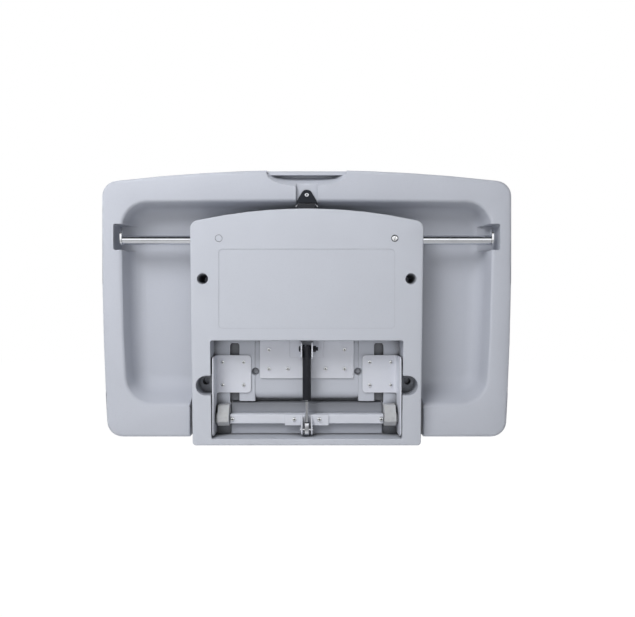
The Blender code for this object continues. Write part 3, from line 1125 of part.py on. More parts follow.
def main():
    """Build the closed changing station."""
    remove_everything()
    bed_pivot = pivot_empty("bed_hinge_axis", Matrix.Translation((0, HINGE_Y, HINGE_Z)))
    rod_pivot = pivot_empty("rod_eye_axis", spring_frame(SPRING_FOOT), bed_pivot)
    cylinder_pivot = pivot_empty("cylinder_axis", spring_frame(SPRING_TOP), rod_pivot)
    wall_housing()
    centre_plate()
    spring_bracket()
    for side, sign in SIDES:
        hinge_bracket(side, sign)
        bearing_block(side, sign)
    plate_screws()
    bag_bar()
    bed_shell(bed_pivot)
    hinge_shaft(bed_pivot)
    crank(bed_pivot)
    for place, bar_z, plate_y, up in ANCHORS:
        strap_anchor(place, bar_z, plate_y, up, bed_pivot)
    strap(bed_pivot)
    gas_rod(rod_pivot)
    gas_cylinder(cylinder_pivot)


main()
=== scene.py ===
"""Looks of a fold-down baby changing station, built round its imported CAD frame.

The wall is the plane y = 0 and the room lies towards -Y. The camera stands on the wall's
side and looks at the hinge gear in the housing's recess, as the photograph does.
"""
import json
import math

import bmesh
import bpy
from bpy.props import FloatProperty, FloatVectorProperty, PointerProperty
from mathutils import Euler, Matrix, Vector


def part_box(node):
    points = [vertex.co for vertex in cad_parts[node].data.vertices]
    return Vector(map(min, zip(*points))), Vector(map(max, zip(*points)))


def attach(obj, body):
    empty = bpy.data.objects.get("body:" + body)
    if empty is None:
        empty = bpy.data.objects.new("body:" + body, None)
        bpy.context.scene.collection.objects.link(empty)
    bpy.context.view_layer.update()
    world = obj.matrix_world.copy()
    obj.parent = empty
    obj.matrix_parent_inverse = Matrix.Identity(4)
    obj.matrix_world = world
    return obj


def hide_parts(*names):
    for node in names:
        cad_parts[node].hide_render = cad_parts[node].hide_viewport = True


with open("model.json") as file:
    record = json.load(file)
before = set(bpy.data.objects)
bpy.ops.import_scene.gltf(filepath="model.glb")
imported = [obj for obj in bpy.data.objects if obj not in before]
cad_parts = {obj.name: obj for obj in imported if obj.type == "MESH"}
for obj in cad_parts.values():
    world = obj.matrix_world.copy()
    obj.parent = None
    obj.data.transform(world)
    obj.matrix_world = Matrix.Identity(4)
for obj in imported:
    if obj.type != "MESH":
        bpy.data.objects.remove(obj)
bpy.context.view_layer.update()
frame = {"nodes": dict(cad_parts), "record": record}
SLOTS = {part["node"]: part["material_slot"] for part in frame["record"]["subparts"]}

bl_info = {
    "name": "Changing Station Looks",
    "version": (1, 0, 0),
    "blender": (4, 5, 0),
    "location": "View3D > Sidebar > Station",
    "description": "Dresses the packed frame of a fold-down baby changing station",
    "category": "Object",
}

# Bodies of the frame, and the two sides as seen from the room.
WALL_BODY = "wall_unit"
BED_BODY = "bed"
ROD_BODY = "gas_rod"
CYLINDER_BODY = "gas_cylinder"
SIDES = (("left", -1), ("right", 1))

# How triangles are joined, and which edges count as flat, sharp or smooth.
MERGE = 0.00001
FLAT_ANGLE = math.radians(1.2)
EDGE_ANGLE = math.radians(33)
SHADE_ANGLE = math.radians(35)

# Room that an edge needs beside it, in widths of its round, and shares of its length where this
# is tried. An edge that is fewer widths long than SHORT_FACTOR counts as part of a hole's rim.
ROOM_FACTOR = 1.4
ROOM_SHARES = (0.1, 0.5, 0.9)
SHORT_FACTOR = 1.2
NO_ROUND, FINE_ROUND, WIDE_ROUND = 0, 1, 2

# Shade in hollows: how far it looks, and the open share where it is full and where it ends.
BASIN_SHADE = (0.15, 0.30, 0.98)
BED_SHADE = (0.022, 0.00, 0.30)
HOUSING_SHADE = (0.030, 0.19, 0.60)
SHEET_SHADE = (0.012, 0.10, 0.60)

# Height of each finish's relief.
MOULD_GRAIN = 0.00009
ORANGE_PEEL = 0.00012
DRAWN_LINES = 0.00003
ZINC_CLOUD = 0.00006
NYLON_SKIN = 0.00008
PAINT_SKIN = 0.00006
SPARKED_GRAIN = 0.00008
WEAVE_RELIEF = 0.0003

# Where shade is painted: round the shaft on the knuckle, and in the housing's grooves.
KNUCKLE_OVER = 0.035
KNUCKLE_BEHIND = 0.045
KNUCKLE_SHADE_ABOVE = 0.6
KNUCKLE_SHADE_BELOW = 0.5
KNUCKLE_SHADE_SLOPE = 20.0
GROOVE_FROM_BLOCK = 0.009
GROOVE_HALF = 0.0115
GROOVE_FLOOR = 0.0095
GROOVE_RIM = 0.001
GROOVE_TOP_Z = -0.028

# Screws: height of the head and radius of the shank.
PLATE_SCREW = (0.0024, 0.0020)
SHAFT_BOLT = (0.0035, 0.0030)
ANCHOR_SCREW = (0.0025, 0.0020)
BAR_SCREW = (0.0030, 0.0025)

# A screw's head in shares of its radius and height, and the turns it was left at.
CROSS_REACH_SHARE = 0.55
CROSS_HALF_SHARE = 0.13
CROSS_DEPTH_SHARE = 0.6
CROSS_FLOOR_SHARES = (0.55, 0.8, 1.0)
FLAT_TOP_SHARE = 0.68
DOME_SHARES = ((0.86, 0.10), (0.96, 0.30), (1.0, 0.60), (1.0, 0.94), (0.97, 1.0))
SCREW_TURN = math.radians(10)
SCREW_TURNS = 9

# Webbing from its tail, round an anchor's bar and along the basin to its fold in the buckle.
BAR_INSET = 0.0035
TAIL_REACHES = (0.0075, 0.004)
RUN_DROP = 0.002
RUN_CORNER = 0.003
BASIN_FILLET = 0.025
FLOOR_PLAY = 0.0003
SLOPE_LENGTH = 0.011
SLOPE_END = 0.002
SLOPE_SHARES = (0.6, 0.25, 0.08)
BODY_FOLD_INSET = 0.003
TONGUE_FOLD_INSET = 0.0045
FOLD_SHARE = 0.54
TAIL_END = 0.002

# Stitching: its place on the fold, its flat thread, and one loop as share of a stitch and lift.
STITCH_INSET = 0.004
STITCH_START = 0.008
STITCH_END = 0.003
STITCH_PITCH = 0.0029
THREAD_HALF = 0.0004
THREAD_THICKNESS = 0.00064
STITCH_LOOP = ((0.06, -0.0004), (0.14, 0.0001), (0.45, 0.0003), (0.76, 0.0001), (0.84, -0.0004))

# Keeper wire and its curl, as side and height over the anchor's foot.
KEEPER_WIRE = 0.0016
KEEPER_CURL = ((0.0232, -0.0004), (0.0228, 0.0012), (0.0218, 0.0027), (0.0203, 0.0038),
               (0.0186, 0.0044), (0.0170, 0.0045))

# Buckle body: corners as distance in from its side, height over its foot and radius.
BODY_SIDE = ((0.001, 0.0, 0.004), (0.0, 0.009, 0.003), (0.0052, 0.0115, 0.0015),
             (0.0052, 0.0225, 0.0015), (0.0, 0.025, 0.003))
BODY_TOP_INSET = 0.004
BODY_TOP_CORNER = 0.005
BODY_SINK = 0.0010

# Raised panel and its grip ridges, each with a sloped end as side and lift.
PANEL_HALF = 0.0165
PANEL_FOOT = 0.0035
PANEL_HEAD = 0.0022
PANEL_CORNER = 0.003
PANEL_ROOT = 0.0020
PANEL_SINK = 0.0002
RIDGES = 5
RIDGE_START = 0.0060
RIDGE_PITCH = 0.0024
RIDGE_WIDTH = 0.0012
RIDGE_END = ((0.0098, 0.0), (0.0110, -0.0003), (0.0118, -0.0015))

# Buckle tongue with its slot, and a prong's corners, given as the body's are.
TONGUE_CORNER = 0.004
TONGUE_SLANT = 0.006
SLOT_HALF = 0.0196
SLOT_FOOT = 0.0034
SLOT_HEAD = 0.0085
SLOT_CORNER = 0.0012
PRONG_SIDE = ((0.0062, 0.0120, 0.001), (0.0022, 0.0125, 0.0015), (0.0012, 0.0190, 0.0030),
              (0.0032, 0.0220, 0.0018), (0.0062, 0.0221, 0.001))
PRONG_LIFT = 0.002
PRONG_SINK = 0.0018
PRONG_EDGE_SHARE = 0.75

# Lamps as side of the square and place, and the floor that the camera sees as white.
LAMPS = {"key": (0.9, (0.75, 1.15, 1.35)), "fill": (1.6, (0.5, 1.9, -0.3)),
         "room": (1.4, (-0.6, -1.8, 1.0))}
WHITE = (1.0, 1.0, 1.0)
FLOOR_COLOUR = (0.9, 0.9, 0.9)
FLOOR_ROUGHNESS = 0.9
FLOOR_GLOW = 1.03
FLOOR_GLOW_SHARE = 0.97
FLOOR_HALF = 6.0

# What metal mirrors, from straight down at 0 to straight up at 1.
STUDIO_BANDS = ((0.0, 0.26), (0.43, 0.26), (0.50, 0.95), (0.72, 1.0), (0.80, 0.20), (0.88, 0.03))
STUDIO_GLOW = 1.35


class Wire:
    """One output of a node. Sums and products of wires add Math nodes."""

    def __init__(self, nodes, socket):
        self.nodes = nodes
        self.socket = socket

    def maths(self, operation, first, second):
        """Add one Math node."""
        return self.nodes.node("ShaderNodeMath", {"operation": operation}, {0: first, 1: second})

    def __add__(self, other):
        return self.maths("ADD", self, other)

    def __radd__(self, other):
        return self.maths("ADD", other, self)

    def __sub__(self, other):
        return self.maths("SUBTRACT", self, other)

    def __rsub__(self, other):
        return self.maths("SUBTRACT", other, self)

    def __mul__(self, other):
        return self.maths("MULTIPLY", self, other)

    def __rmul__(self, other):
        return self.maths("MULTIPLY", other, self)


class Nodes:
    """The nodes of a material or of the sky."""

    def __init__(self, tree):
        self.tree = tree

    def put(self, socket, value):
        """Give a socket a link or a value."""
        if isinstance(value, Wire):
            self.tree.links.new(value.socket, socket)
        elif socket.type == "RGBA":
            socket.default_value = (*tuple(value)[:3], 1.0)
        else:
            socket.default_value = value

    def node(self, kind, settings=None, inputs=None, output=0):
        """Add a node: its settings first, then its sockets. Returns one output."""
        node = self.tree.nodes.new(kind)
        for name, value in (settings or {}).items():
            if name == "stops":
                self.stops(node.color_ramp.elements, value)
            else:
                setattr(node, name, value)
        for name, value in (inputs or {}).items():
            self.put(node.inputs[name], value)
        return Wire(self, node.outputs[output])

    def stops(self, elements, stops):
        """Set a ramp's stops: those between its ends first, then its two ends."""
        for place, level in stops[1:-1]:
            elements.new(place).color = (level, level, level, 1.0)
        for element, (place, level) in ((elements[0], stops[0]), (elements[-1], stops[-1])):
            element.position = place
            element.color = (level, level, level, 1.0)

    def ramp(self, value, *stops):
        """Grey ramp over a value, with its stops as place and level."""
        return self.node("ShaderNodeValToRGB", {"stops": stops}, {"Fac": value})


class Recipe(Nodes):
    """A node material with one Principled shader."""

    def __init__(self, name):
        self.material = bpy.data.materials.new(name)
        self.material.use_nodes = True
        super().__init__(self.material.node_tree)
        self.shader = self.tree.nodes["Principled BSDF"]

    def set(self, **sockets):
        """Set the shader's sockets, named with underscores."""
        for name, value in sockets.items():
            self.put(self.shader.inputs[name.replace("_", " ")], value)

    def place(self, stretch=(1.0, 1.0, 1.0)):
        """Object coordinates in metres, stretched along each axis."""
        coords = self.node("ShaderNodeTexCoord", output="Object")
        return self.node("ShaderNodeMapping", {}, {"Vector": coords, "Scale": stretch})

    def noise(self, scale, detail=2.0, stretch=(1.0, 1.0, 1.0), roughness=0.5):
        """Soft noise with so many cells to the metre."""
        return self.node("ShaderNodeTexNoise", {}, {"Vector": self.place(stretch), "Scale": scale,
                                                    "Detail": detail, "Roughness": roughness})

    def cells(self, scale, output="Distance"):
        """Small random cells: the distance to their middles, or a colour for each."""
        return self.node("ShaderNodeTexVoronoi", {}, {"Vector": self.place(), "Scale": scale},
                         output)

    def sine(self, angle):
        """Sine of an angle that changes over the surface."""
        return self.node("ShaderNodeMath", {"operation": "SINE"}, {0: angle})

    def mix(self, share, first, second):
        """Colour between two colours."""
        return self.node("ShaderNodeMix", {"data_type": "RGBA"}, {0: share, 6: first, 7: second}, 2)

    def bump(self, height, distance, strength=1.0):
        """Bumped normal from a height."""
        return self.node("ShaderNodeBump", {}, {"Height": height, "Distance": distance,
                                                "Strength": strength})

    def marked(self, name):
        """How far a surface is marked: worn as a rounded edge is, or under painted shade."""
        return self.node("ShaderNodeAttribute", {"attribute_name": name}, output="Fac")

    def crevice(self, reach, dark, clear, depth=1.0):
        """How deep a surface lies in a hole or corner, which is where shade is painted."""
        open_sky = self.node("ShaderNodeAmbientOcclusion", {"samples": 8}, {"Distance": reach}, 1)
        return self.ramp(open_sky, (dark, depth), (clear, 0.0))


def shade(colour, factor):
    """A colour made darker or lighter."""
    return tuple(min(channel * factor, 1.0) for channel in colour)


def moulded_plastic(name, colour, roughness, hollows, deepest):
    """Rotomoulded polyethylene: skin grain, cloudy colour, rubbed edges, and painted shade in its
    hollows and on marked faces.
    """
    recipe = Recipe(name)
    cloud = recipe.noise(7.0, 3.0)
    speck = recipe.noise(420.0, 2.0)
    grain = recipe.noise(1500.0, 3.0)
    specks = recipe.ramp(speck, (0.56, 0.0), (0.74, 1.0))
    rubbed = recipe.marked("worn") * recipe.ramp(recipe.noise(55.0, 4.0), (0.42, 0.0), (0.62, 1.0))
    # Painted shade on the faces marked round the knuckle and in the grooves, a little patchy.
    grime = recipe.marked("grime") * (0.75 + 0.4 * cloud)
    base = recipe.mix(cloud, shade(colour, 0.955), shade(colour, 1.045))
    base = recipe.mix(specks * 0.28, base, shade(colour, 0.86))
    base = recipe.mix(rubbed * 0.35, base, shade(colour, 1.16))
    # Painted shade: wide hollows such as the basin first, then the marked knuckle and grooves, then
    # small holes and corners.
    base = recipe.mix(recipe.crevice(*BASIN_SHADE), base, shade(colour, 0.80))
    base = recipe.mix(grime, base, shade(colour, 0.30))
    base = recipe.mix(recipe.crevice(*hollows), base, shade(colour, deepest))
    recipe.set(Base_Color=base, Roughness=roughness + 0.10 * cloud - 0.08 * rubbed,
               Normal=recipe.bump(grain + 0.5 * speck, MOULD_GRAIN, 0.55), Specular_IOR_Level=0.42)
    return recipe.material


def coated_sheet(name, colour, roughness):
    """Powder-coated sheet steel: orange peel, faint marks, bright worn edges and painted shade in
    its corners.
    """
    recipe = Recipe(name)
    peel = recipe.noise(620.0, 2.0)
    cloud = recipe.noise(18.0, 4.0)
    marks = recipe.ramp(recipe.noise(90.0, 5.0, (1.0, 1.0, 9.0), 0.7), (0.60, 0.0), (0.72, 1.0))
    bare = recipe.marked("worn") * recipe.ramp(recipe.noise(130.0, 3.0), (0.50, 0.0), (0.60, 1.0))
    base = recipe.mix(cloud, shade(colour, 0.93), shade(colour, 1.05))
    base = recipe.mix(marks * 0.25, base, shade(colour, 0.78))
    base = recipe.mix(bare, base, (0.66, 0.67, 0.70))
    # Painted shade in the plates' corners and holes.
    base = recipe.mix(recipe.crevice(*SHEET_SHADE, depth=0.9), base, shade(colour, 0.12))
    recipe.set(Base_Color=base, Roughness=roughness + 0.12 * cloud - 0.10 * bare,
               Metallic=0.04 + 0.80 * bare, Normal=recipe.bump(peel, ORANGE_PEEL, 0.5))
    return recipe.material


def polished_steel(name, colour, roughness):
    """Polished tube and rod: drawn lines along it and a few dull patches."""
    recipe = Recipe(name)
    drawn = recipe.noise(1400.0, 3.0, (0.01, 1.0, 1.0))
    dull = recipe.ramp(recipe.noise(30.0, 4.0), (0.48, 0.0), (0.70, 1.0))
    recipe.set(Base_Color=recipe.mix(dull * 0.5, colour, shade(colour, 0.82)), Metallic=1.0,
               Roughness=roughness + 0.10 * dull + 0.08 * drawn,
               Normal=recipe.bump(drawn, DRAWN_LINES, 0.4))
    return recipe.material


def zinc_plate(name, colour, roughness):
    """Zinc-plated steel: small crystal patches, each a little lighter or darker."""
    recipe = Recipe(name)
    patch = recipe.cells(700.0, "Color")
    level = recipe.node("ShaderNodeRGBToBW", {}, {"Color": patch})
    cloud = recipe.noise(120.0, 3.0)
    recipe.set(Base_Color=recipe.mix(level, shade(colour, 0.84), shade(colour, 1.08)), Metallic=1.0,
               Roughness=roughness + 0.14 * cloud, Normal=recipe.bump(cloud, ZINC_CLOUD, 0.4))
    return recipe.material


def cast_nylon(name, colour, roughness):
    """Cream nylon: waxy and lightly mottled, with a greased darker tinge in places."""
    recipe = Recipe(name)
    cloud = recipe.noise(70.0, 3.0)
    skin = recipe.noise(1100.0, 2.0)
    grease = recipe.ramp(recipe.noise(160.0, 4.0), (0.52, 0.0), (0.70, 1.0))
    base = recipe.mix(cloud, shade(colour, 0.94), shade(colour, 1.06))
    recipe.set(Base_Color=recipe.mix(grease * 0.3, base, shade(colour, 0.72)),
               Roughness=roughness - 0.12 * grease, Normal=recipe.bump(skin, NYLON_SKIN, 0.5),
               Subsurface_Weight=0.08, Subsurface_Radius=(0.004, 0.003, 0.002))
    return recipe.material


def black_enamel(name, colour, roughness):
    """Glossy black paint on steel, with dust and rubbed edges."""
    recipe = Recipe(name)
    skin = recipe.noise(500.0, 2.0)
    dust = recipe.ramp(recipe.noise(210.0, 5.0), (0.50, 0.0), (0.75, 1.0))
    rubbed = recipe.marked("worn") * recipe.ramp(recipe.noise(240.0, 3.0), (0.50, 0.0), (0.60, 1.0))
    base = recipe.mix(dust * 0.25, colour, (0.045, 0.047, 0.056))
    recipe.set(Base_Color=recipe.mix(rubbed, base, (0.30, 0.31, 0.33)),
               Roughness=roughness + 0.20 * dust, Metallic=0.6 * rubbed,
               Normal=recipe.bump(skin, PAINT_SKIN, 0.4), Specular_IOR_Level=0.2,
               Coat_Weight=0.12, Coat_Roughness=0.18)
    return recipe.material


def black_plastic(name, colour, roughness):
    """Injection-moulded black acetal: spark-eroded grain and greyed edges."""
    recipe = Recipe(name)
    cloud = recipe.noise(60.0, 3.0)
    rubbed = recipe.marked("worn") * recipe.ramp(cloud, (0.45, 0.0), (0.62, 1.0))
    base = recipe.mix(cloud, shade(colour, 0.8), shade(colour, 1.25))
    recipe.set(Base_Color=recipe.mix(rubbed * 0.5, base, (0.08, 0.085, 0.10)),
               Roughness=roughness + 0.10 * cloud - 0.12 * rubbed,
               Normal=recipe.bump(recipe.cells(1900.0), SPARKED_GRAIN, 0.5),
               Specular_IOR_Level=0.25)
    return recipe.material


def woven_webbing(name, colour, roughness):
    """Narrow nylon webbing: ribs across the strap and paired threads along it."""
    recipe = Recipe(name)
    uv = recipe.node("ShaderNodeUVMap", {"uv_map": "webbing"})
    across, along = (recipe.node("ShaderNodeSeparateXYZ", {}, {"Vector": uv}, axis)
                     for axis in "XY")
    turn = 2 * math.pi / bpy.context.scene.station_strap.thread_pitch
    pair = recipe.sine(across * (turn / 2))
    phase = recipe.node("ShaderNodeMath", {"operation": "SIGN"}, {0: pair})
    weft = recipe.sine(along * turn + phase * (math.pi / 2))
    height = 0.5 + 0.25 * recipe.sine(across * turn) + 0.25 * weft
    fuzz = recipe.noise(900.0, 4.0)
    # Painted shade between the ribs and threads, and painted highlight on their tops, from the
    # weave's height.
    base = recipe.mix(height, shade(colour, 0.45), shade(colour, 1.8))
    recipe.set(Base_Color=recipe.mix(fuzz * 0.3, base, (0.07, 0.07, 0.08)),
               Roughness=roughness + 0.10 * fuzz, Sheen_Weight=0.25,
               Normal=recipe.bump(height + 0.3 * fuzz, WEAVE_RELIEF, 0.9))
    return recipe.material


def finish_of(slot):
    """The material of a slot, made once from the colours panel."""
    name = f"{slot}_finish"
    known = bpy.data.materials.get(name)
    if known is not None:
        return known
    make, *settings = {
        "bed_plastic": (moulded_plastic, 0.40, BED_SHADE, 0.50),
        "housing_plastic": (moulded_plastic, 0.44, HOUSING_SHADE, 0.09),
        "coated_steel": (coated_sheet, 0.38),
        "bright_steel": (polished_steel, 0.10),
        "zinc_steel": (zinc_plate, 0.18),
        "cream_nylon": (cast_nylon, 0.46),
        "black_enamel": (black_enamel, 0.30),
        "black_plastic": (black_plastic, 0.46),
        "black_webbing": (woven_webbing, 0.78),
    }[slot]
    return make(name, tuple(getattr(bpy.context.scene.station_colours, slot)), *settings)


def merged_copy(node):
    """A bmesh of a CAD node with its loose triangles joined and its flat faces whole."""
    bm = bmesh.new()
    bm.from_mesh(frame["nodes"][node].data)
    bmesh.ops.remove_doubles(bm, verts=bm.verts, dist=MERGE)
    bmesh.ops.dissolve_limit(bm, angle_limit=FLAT_ANGLE, verts=bm.verts, edges=bm.edges)
    bmesh.ops.connect_verts_concave(bm, faces=bm.faces)
    return bm


def has_room(edge, width):
    """Whether both faces beside an edge reach past its round, all along it."""
    start, end = (vert.co for vert in edge.verts)
    for face in edge.link_faces:
        loop = next(loop for loop in face.loops if loop.edge == edge)
        inward = face.normal.cross((loop.link_loop_next.vert.co - loop.vert.co).normalized())
        for share in ROOM_SHARES:
            point = start.lerp(end, share)
            for reach in (width / 2, width * ROOM_FACTOR):
                if not bmesh.geometry.intersect_face_point(face, point + inward * reach):
                    return False
    return True


def even_out(bm, grade, wide):
    """Give the short edges of a hole's rim the grade of their least neighbour, all round it."""
    short = [edge for edge in bm.edges
             if edge[grade] == WIDE_ROUND and edge.calc_length() < wide * SHORT_FACTOR]
    changed = True
    while changed:
        changed = False
        for edge in short:
            beside = [other for vert in edge.verts for other in vert.link_edges if other != edge
                      and other.calc_face_angle(0.0) > EDGE_ANGLE]
            if edge[grade] == WIDE_ROUND and any(other[grade] < WIDE_ROUND for other in beside):
                edge[grade] = FINE_ROUND
                changed = True


def room_grade(edge, wide, fine):
    """The widest round that an edge has room for."""
    if has_room(edge, wide):
        return WIDE_ROUND
    return FINE_ROUND if has_room(edge, fine) else NO_ROUND


def round_edges(bm, wide, fine, steps=3):
    """Round the sharp edges: wide where the faces have room, fine where they are narrow."""
    grade = bm.edges.layers.int.new("grade")
    rubbed = bm.loops.layers.float.new("worn")
    for edge in bm.edges:
        if len(edge.link_faces) == 2 and edge.calc_face_angle() > EDGE_ANGLE and edge.is_convex:
            edge[grade] = room_grade(edge, wide, fine)
    even_out(bm, grade, wide)
    strips = bm.faces.layers.int.new("strip")
    for level, width in ((WIDE_ROUND, wide), (FINE_ROUND, fine)):
        chosen = [edge for edge in bm.edges if edge[grade] == level and len(edge.link_faces) == 2]
        made = bmesh.ops.bevel(bm, geom=chosen, offset=width, offset_type="OFFSET", segments=steps,
                               profile=0.5, affect="EDGES", clamp_overlap=False, material=-1,
                               loop_slide=False)
        for face in made["faces"]:
            face[strips] = 1
            for loop in face.loops:
                loop[rubbed] = 1.0
    for edge in bm.edges:
        same_strip = len({face[strips] for face in edge.link_faces}) == 1
        edge.smooth = same_strip and edge.calc_face_angle(math.pi) < SHADE_ANGLE


def shade_by_angle(bm):
    """Keep edges crisp where two faces turn sharply."""
    for edge in bm.edges:
        edge.smooth = edge.calc_face_angle(math.pi) < SHADE_ANGLE


def piece(name, bm, slot, body, *nodes):
    """Make a mesh object that stands for CAD nodes and rides on their body."""
    mesh = bpy.data.meshes.new(name)
    for face in bm.faces:
        face.smooth = True
    bm.to_mesh(mesh)
    bm.free()
    drawn_normals = mesh.attributes.get("custom_normal")
    if drawn_normals is not None:
        mesh.attributes.remove(drawn_normals)
    obj = bpy.data.objects.new(name, mesh)
    bpy.context.scene.collection.objects.link(obj)
    mesh.materials.append(finish_of(slot))
    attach(obj, body)
    if nodes:
        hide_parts(*nodes)


def rounded_node(node, body, wide, fine, suffix):
    """Stand for a rigid CAD node with its own form and rounded edges."""
    bm = merged_copy(node)
    round_edges(bm, wide, fine)
    piece(f"{node}_{suffix}", bm, SLOTS[node], body, node)


def cross_outline(bm, reach, half):
    """A flat cross with arms that reach so far and are twice half wide."""
    corners = []
    for quarter in range(4):
        turn = Matrix.Rotation(quarter * math.pi / 2, 3, "Z")
        for x, y in ((half, half), (reach, half), (reach, -half)):
            corners.append(turn @ Vector((x, y, 0)))
    ordered = sorted(corners, key=lambda corner: math.atan2(corner.y, corner.x))
    return bm.faces.new([bm.verts.new(corner) for corner in ordered])


def ring_step(bm, edges, radius, drop):
    """Extrude a ring of edges to another radius and height. Returns the new ring."""
    made = bmesh.ops.extrude_edge_only(bm, edges=edges)["geom"]
    verts = [item for item in made if isinstance(item, bmesh.types.BMVert)]
    for vert in verts:
        flat = Vector((vert.co.x, vert.co.y, 0)).normalized() * radius
        vert.co = Vector((flat.x, flat.y, drop))
    return [item for item in made if isinstance(item, bmesh.types.BMEdge)]


def cross_screw(head_radius, head, shank_radius, length, sides=28):
    """Domed screw with a cross recess, its head's top at zero and its shank along -Z."""
    bm = bmesh.new()
    face = cross_outline(bm, head_radius * CROSS_REACH_SHARE, head_radius * CROSS_HALF_SHARE)
    rim = list(face.edges)
    floor = bmesh.ops.extrude_face_region(bm, geom=[face])["geom"]
    floor_verts = [item for item in floor if isinstance(item, bmesh.types.BMVert)]
    bmesh.ops.translate(bm, verts=floor_verts, vec=(0, 0, -head * CROSS_DEPTH_SHARE))
    bmesh.ops.scale(bm, verts=floor_verts, vec=CROSS_FLOOR_SHARES)
    if face.is_valid:
        bmesh.ops.delete(bm, geom=[face], context="FACES_ONLY")
    made = bmesh.ops.create_circle(bm, radius=head_radius * FLAT_TOP_SHARE, segments=sides)
    circle = list({edge for vert in made["verts"] for edge in vert.link_edges})
    bmesh.ops.bridge_loops(bm, edges=rim + circle)
    ring = circle
    for radius_share, drop_share in DOME_SHARES:
        ring = ring_step(bm, ring, head_radius * radius_share, -head * drop_share)
    for radius, drop in ((shank_radius, head), (shank_radius, length - shank_radius / 2),
                         (shank_radius / 2, length)):
        ring = ring_step(bm, ring, radius, -drop)
    bmesh.ops.holes_fill(bm, edges=ring, sides=sides)
    bmesh.ops.recalc_face_normals(bm, faces=bm.faces)
    shade_by_angle(bm)
    return bm


def screw_for(node, body, head, shank_radius):
    """A cross screw in the place of a CAD screw whose head looks at the wall side."""
    low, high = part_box(node)
    bm = cross_screw((high.x - low.x) / 2, head, shank_radius, high.y - low.y)
    turn = sum(ord(letter) for letter in node) % SCREW_TURNS * SCREW_TURN
    bm.transform(Matrix.Translation(((low.x + high.x) / 2, high.y, (low.z + high.z) / 2))
                 @ Matrix.Rotation(-math.pi / 2, 4, "X") @ Matrix.Rotation(turn, 4, "Z"))
    piece(f"{node}_driven", bm, SLOTS[node], body, node)


def soft_outline(corners, steps=5):
    """Closed outline through corners of x, z and radius, with every corner an arc."""
    points = []
    for before, here, after in zip(corners[-1:] + corners[:-1], corners, corners[1:] + corners[:1]):
        spot = Vector(here[:2])
        first = (Vector(before[:2]) - spot).normalized()
        second = (Vector(after[:2]) - spot).normalized()
        half = first.angle(second) / 2
        centre = spot + (first + second).normalized() * (here[2] / math.sin(half))
        reach = here[2] / math.tan(half)
        start = (spot + first * reach - centre).normalized()
        end = (spot + second * reach - centre).normalized()
        points += [centre + start.slerp(end, step / steps) * here[2] for step in range(steps + 1)]
    return points


def soft_box(left, right, low, high, radius):
    """Outline of a box with round corners."""
    return soft_outline([(left, low, radius), (right, low, radius),
                         (right, high, radius), (left, high, radius)])


def slab(outlines, bottom, top):
    """A plate between two heights in y, from an outline and a hole's outline if there is one."""
    bm = bmesh.new()
    edges = []
    for outline in outlines:
        ring = [bm.verts.new((point.x, bottom, point.y)) for point in outline]
        edges += [bm.edges.new(pair) for pair in zip(ring, ring[1:] + ring[:1])]
    if len(outlines) > 1:
        bmesh.ops.bridge_loops(bm, edges=edges)
    else:
        bmesh.ops.contextual_create(bm, geom=edges)
    made = bmesh.ops.extrude_face_region(bm, geom=bm.faces[:])["geom"]
    raised = [item for item in made if isinstance(item, bmesh.types.BMVert)]
    bmesh.ops.translate(bm, verts=raised, vec=(0, top - bottom, 0))
    bmesh.ops.recalc_face_normals(bm, faces=bm.faces)
    return bm


def section(half_width, thickness, steps=4):
    """Outline of a strap or wire as pairs of side and lift, round at both edges."""
    radius = thickness / 2
    points = []
    for side in (1, -1):
        for step in range(steps + 1):
            turn = math.pi * step / steps - math.pi / 2
            points.append((side * (half_width - radius + radius * math.cos(turn)),
                           side * radius * math.sin(turn)))
    return points


def swept(bm, outline, route, sideways):
    """Carry an outline of side and lift along a route. Notes how far across and along it lies."""
    across, rise, along = [bm.verts.layers.float.get(name) or bm.verts.layers.float.new(name)
                           for name in ("across", "rise", "along")]
    ring = []
    for side, lift in outline:
        vert = bm.verts.new((side, lift, 0))
        vert[across], vert[rise] = side, lift
        ring.append(vert)
    edges = [bm.edges.new(pair) for pair in zip(ring, ring[1:] + ring[:1])]
    ends = list(edges)
    travelled = 0.0
    for place, point in enumerate(route):
        ahead = (route[min(place + 1, len(route) - 1)] - route[max(place - 1, 0)]).normalized()
        if place:
            travelled += (point - route[place - 1]).length
            made = bmesh.ops.extrude_edge_only(bm, edges=edges)["geom"]
            ring = [item for item in made if isinstance(item, bmesh.types.BMVert)]
            edges = [item for item in made if isinstance(item, bmesh.types.BMEdge)
                     and all(vert in ring for vert in item.verts)]
        for vert in ring:
            vert.co = point + sideways * vert[across] + sideways.cross(ahead) * vert[rise]
            vert[along] = travelled
    bmesh.ops.holes_fill(bm, edges=ends + edges, sides=len(outline))


def arc(centre, radius, start, end, steps):
    """Points on an arc in the y and z plane, from one angle to another in degrees."""
    turns = [math.radians(start + (end - start) * step / steps) for step in range(steps + 1)]
    return [Vector((0, centre[0] + radius * math.cos(turn), centre[1] + radius * math.sin(turn)))
            for turn in turns]


def stitch_line(bm, start, end, up):
    """A row of thread loops over a surface from one point to another."""
    ahead = (end - start).normalized()
    count = max(int((end - start).length / STITCH_PITCH), 1)
    step = (end - start) / count
    for number in range(count):
        first = start + step * number
        route = [first + step * share + up * lift for share, lift in STITCH_LOOP]
        swept(bm, section(THREAD_HALF, THREAD_THICKNESS, 2), route, up.cross(ahead))


def lay_webbing(bm):
    """Map the weave by the metres across and along each swept strap."""
    bmesh.ops.recalc_face_normals(bm, faces=bm.faces)
    across, along = (bm.verts.layers.float[name] for name in ("across", "along"))
    weave = bm.loops.layers.uv.new("webbing")
    for face in bm.faces:
        for loop in face.loops:
            loop[weave].uv = (loop.vert[across], loop.vert[along])
    shade_by_angle(bm)


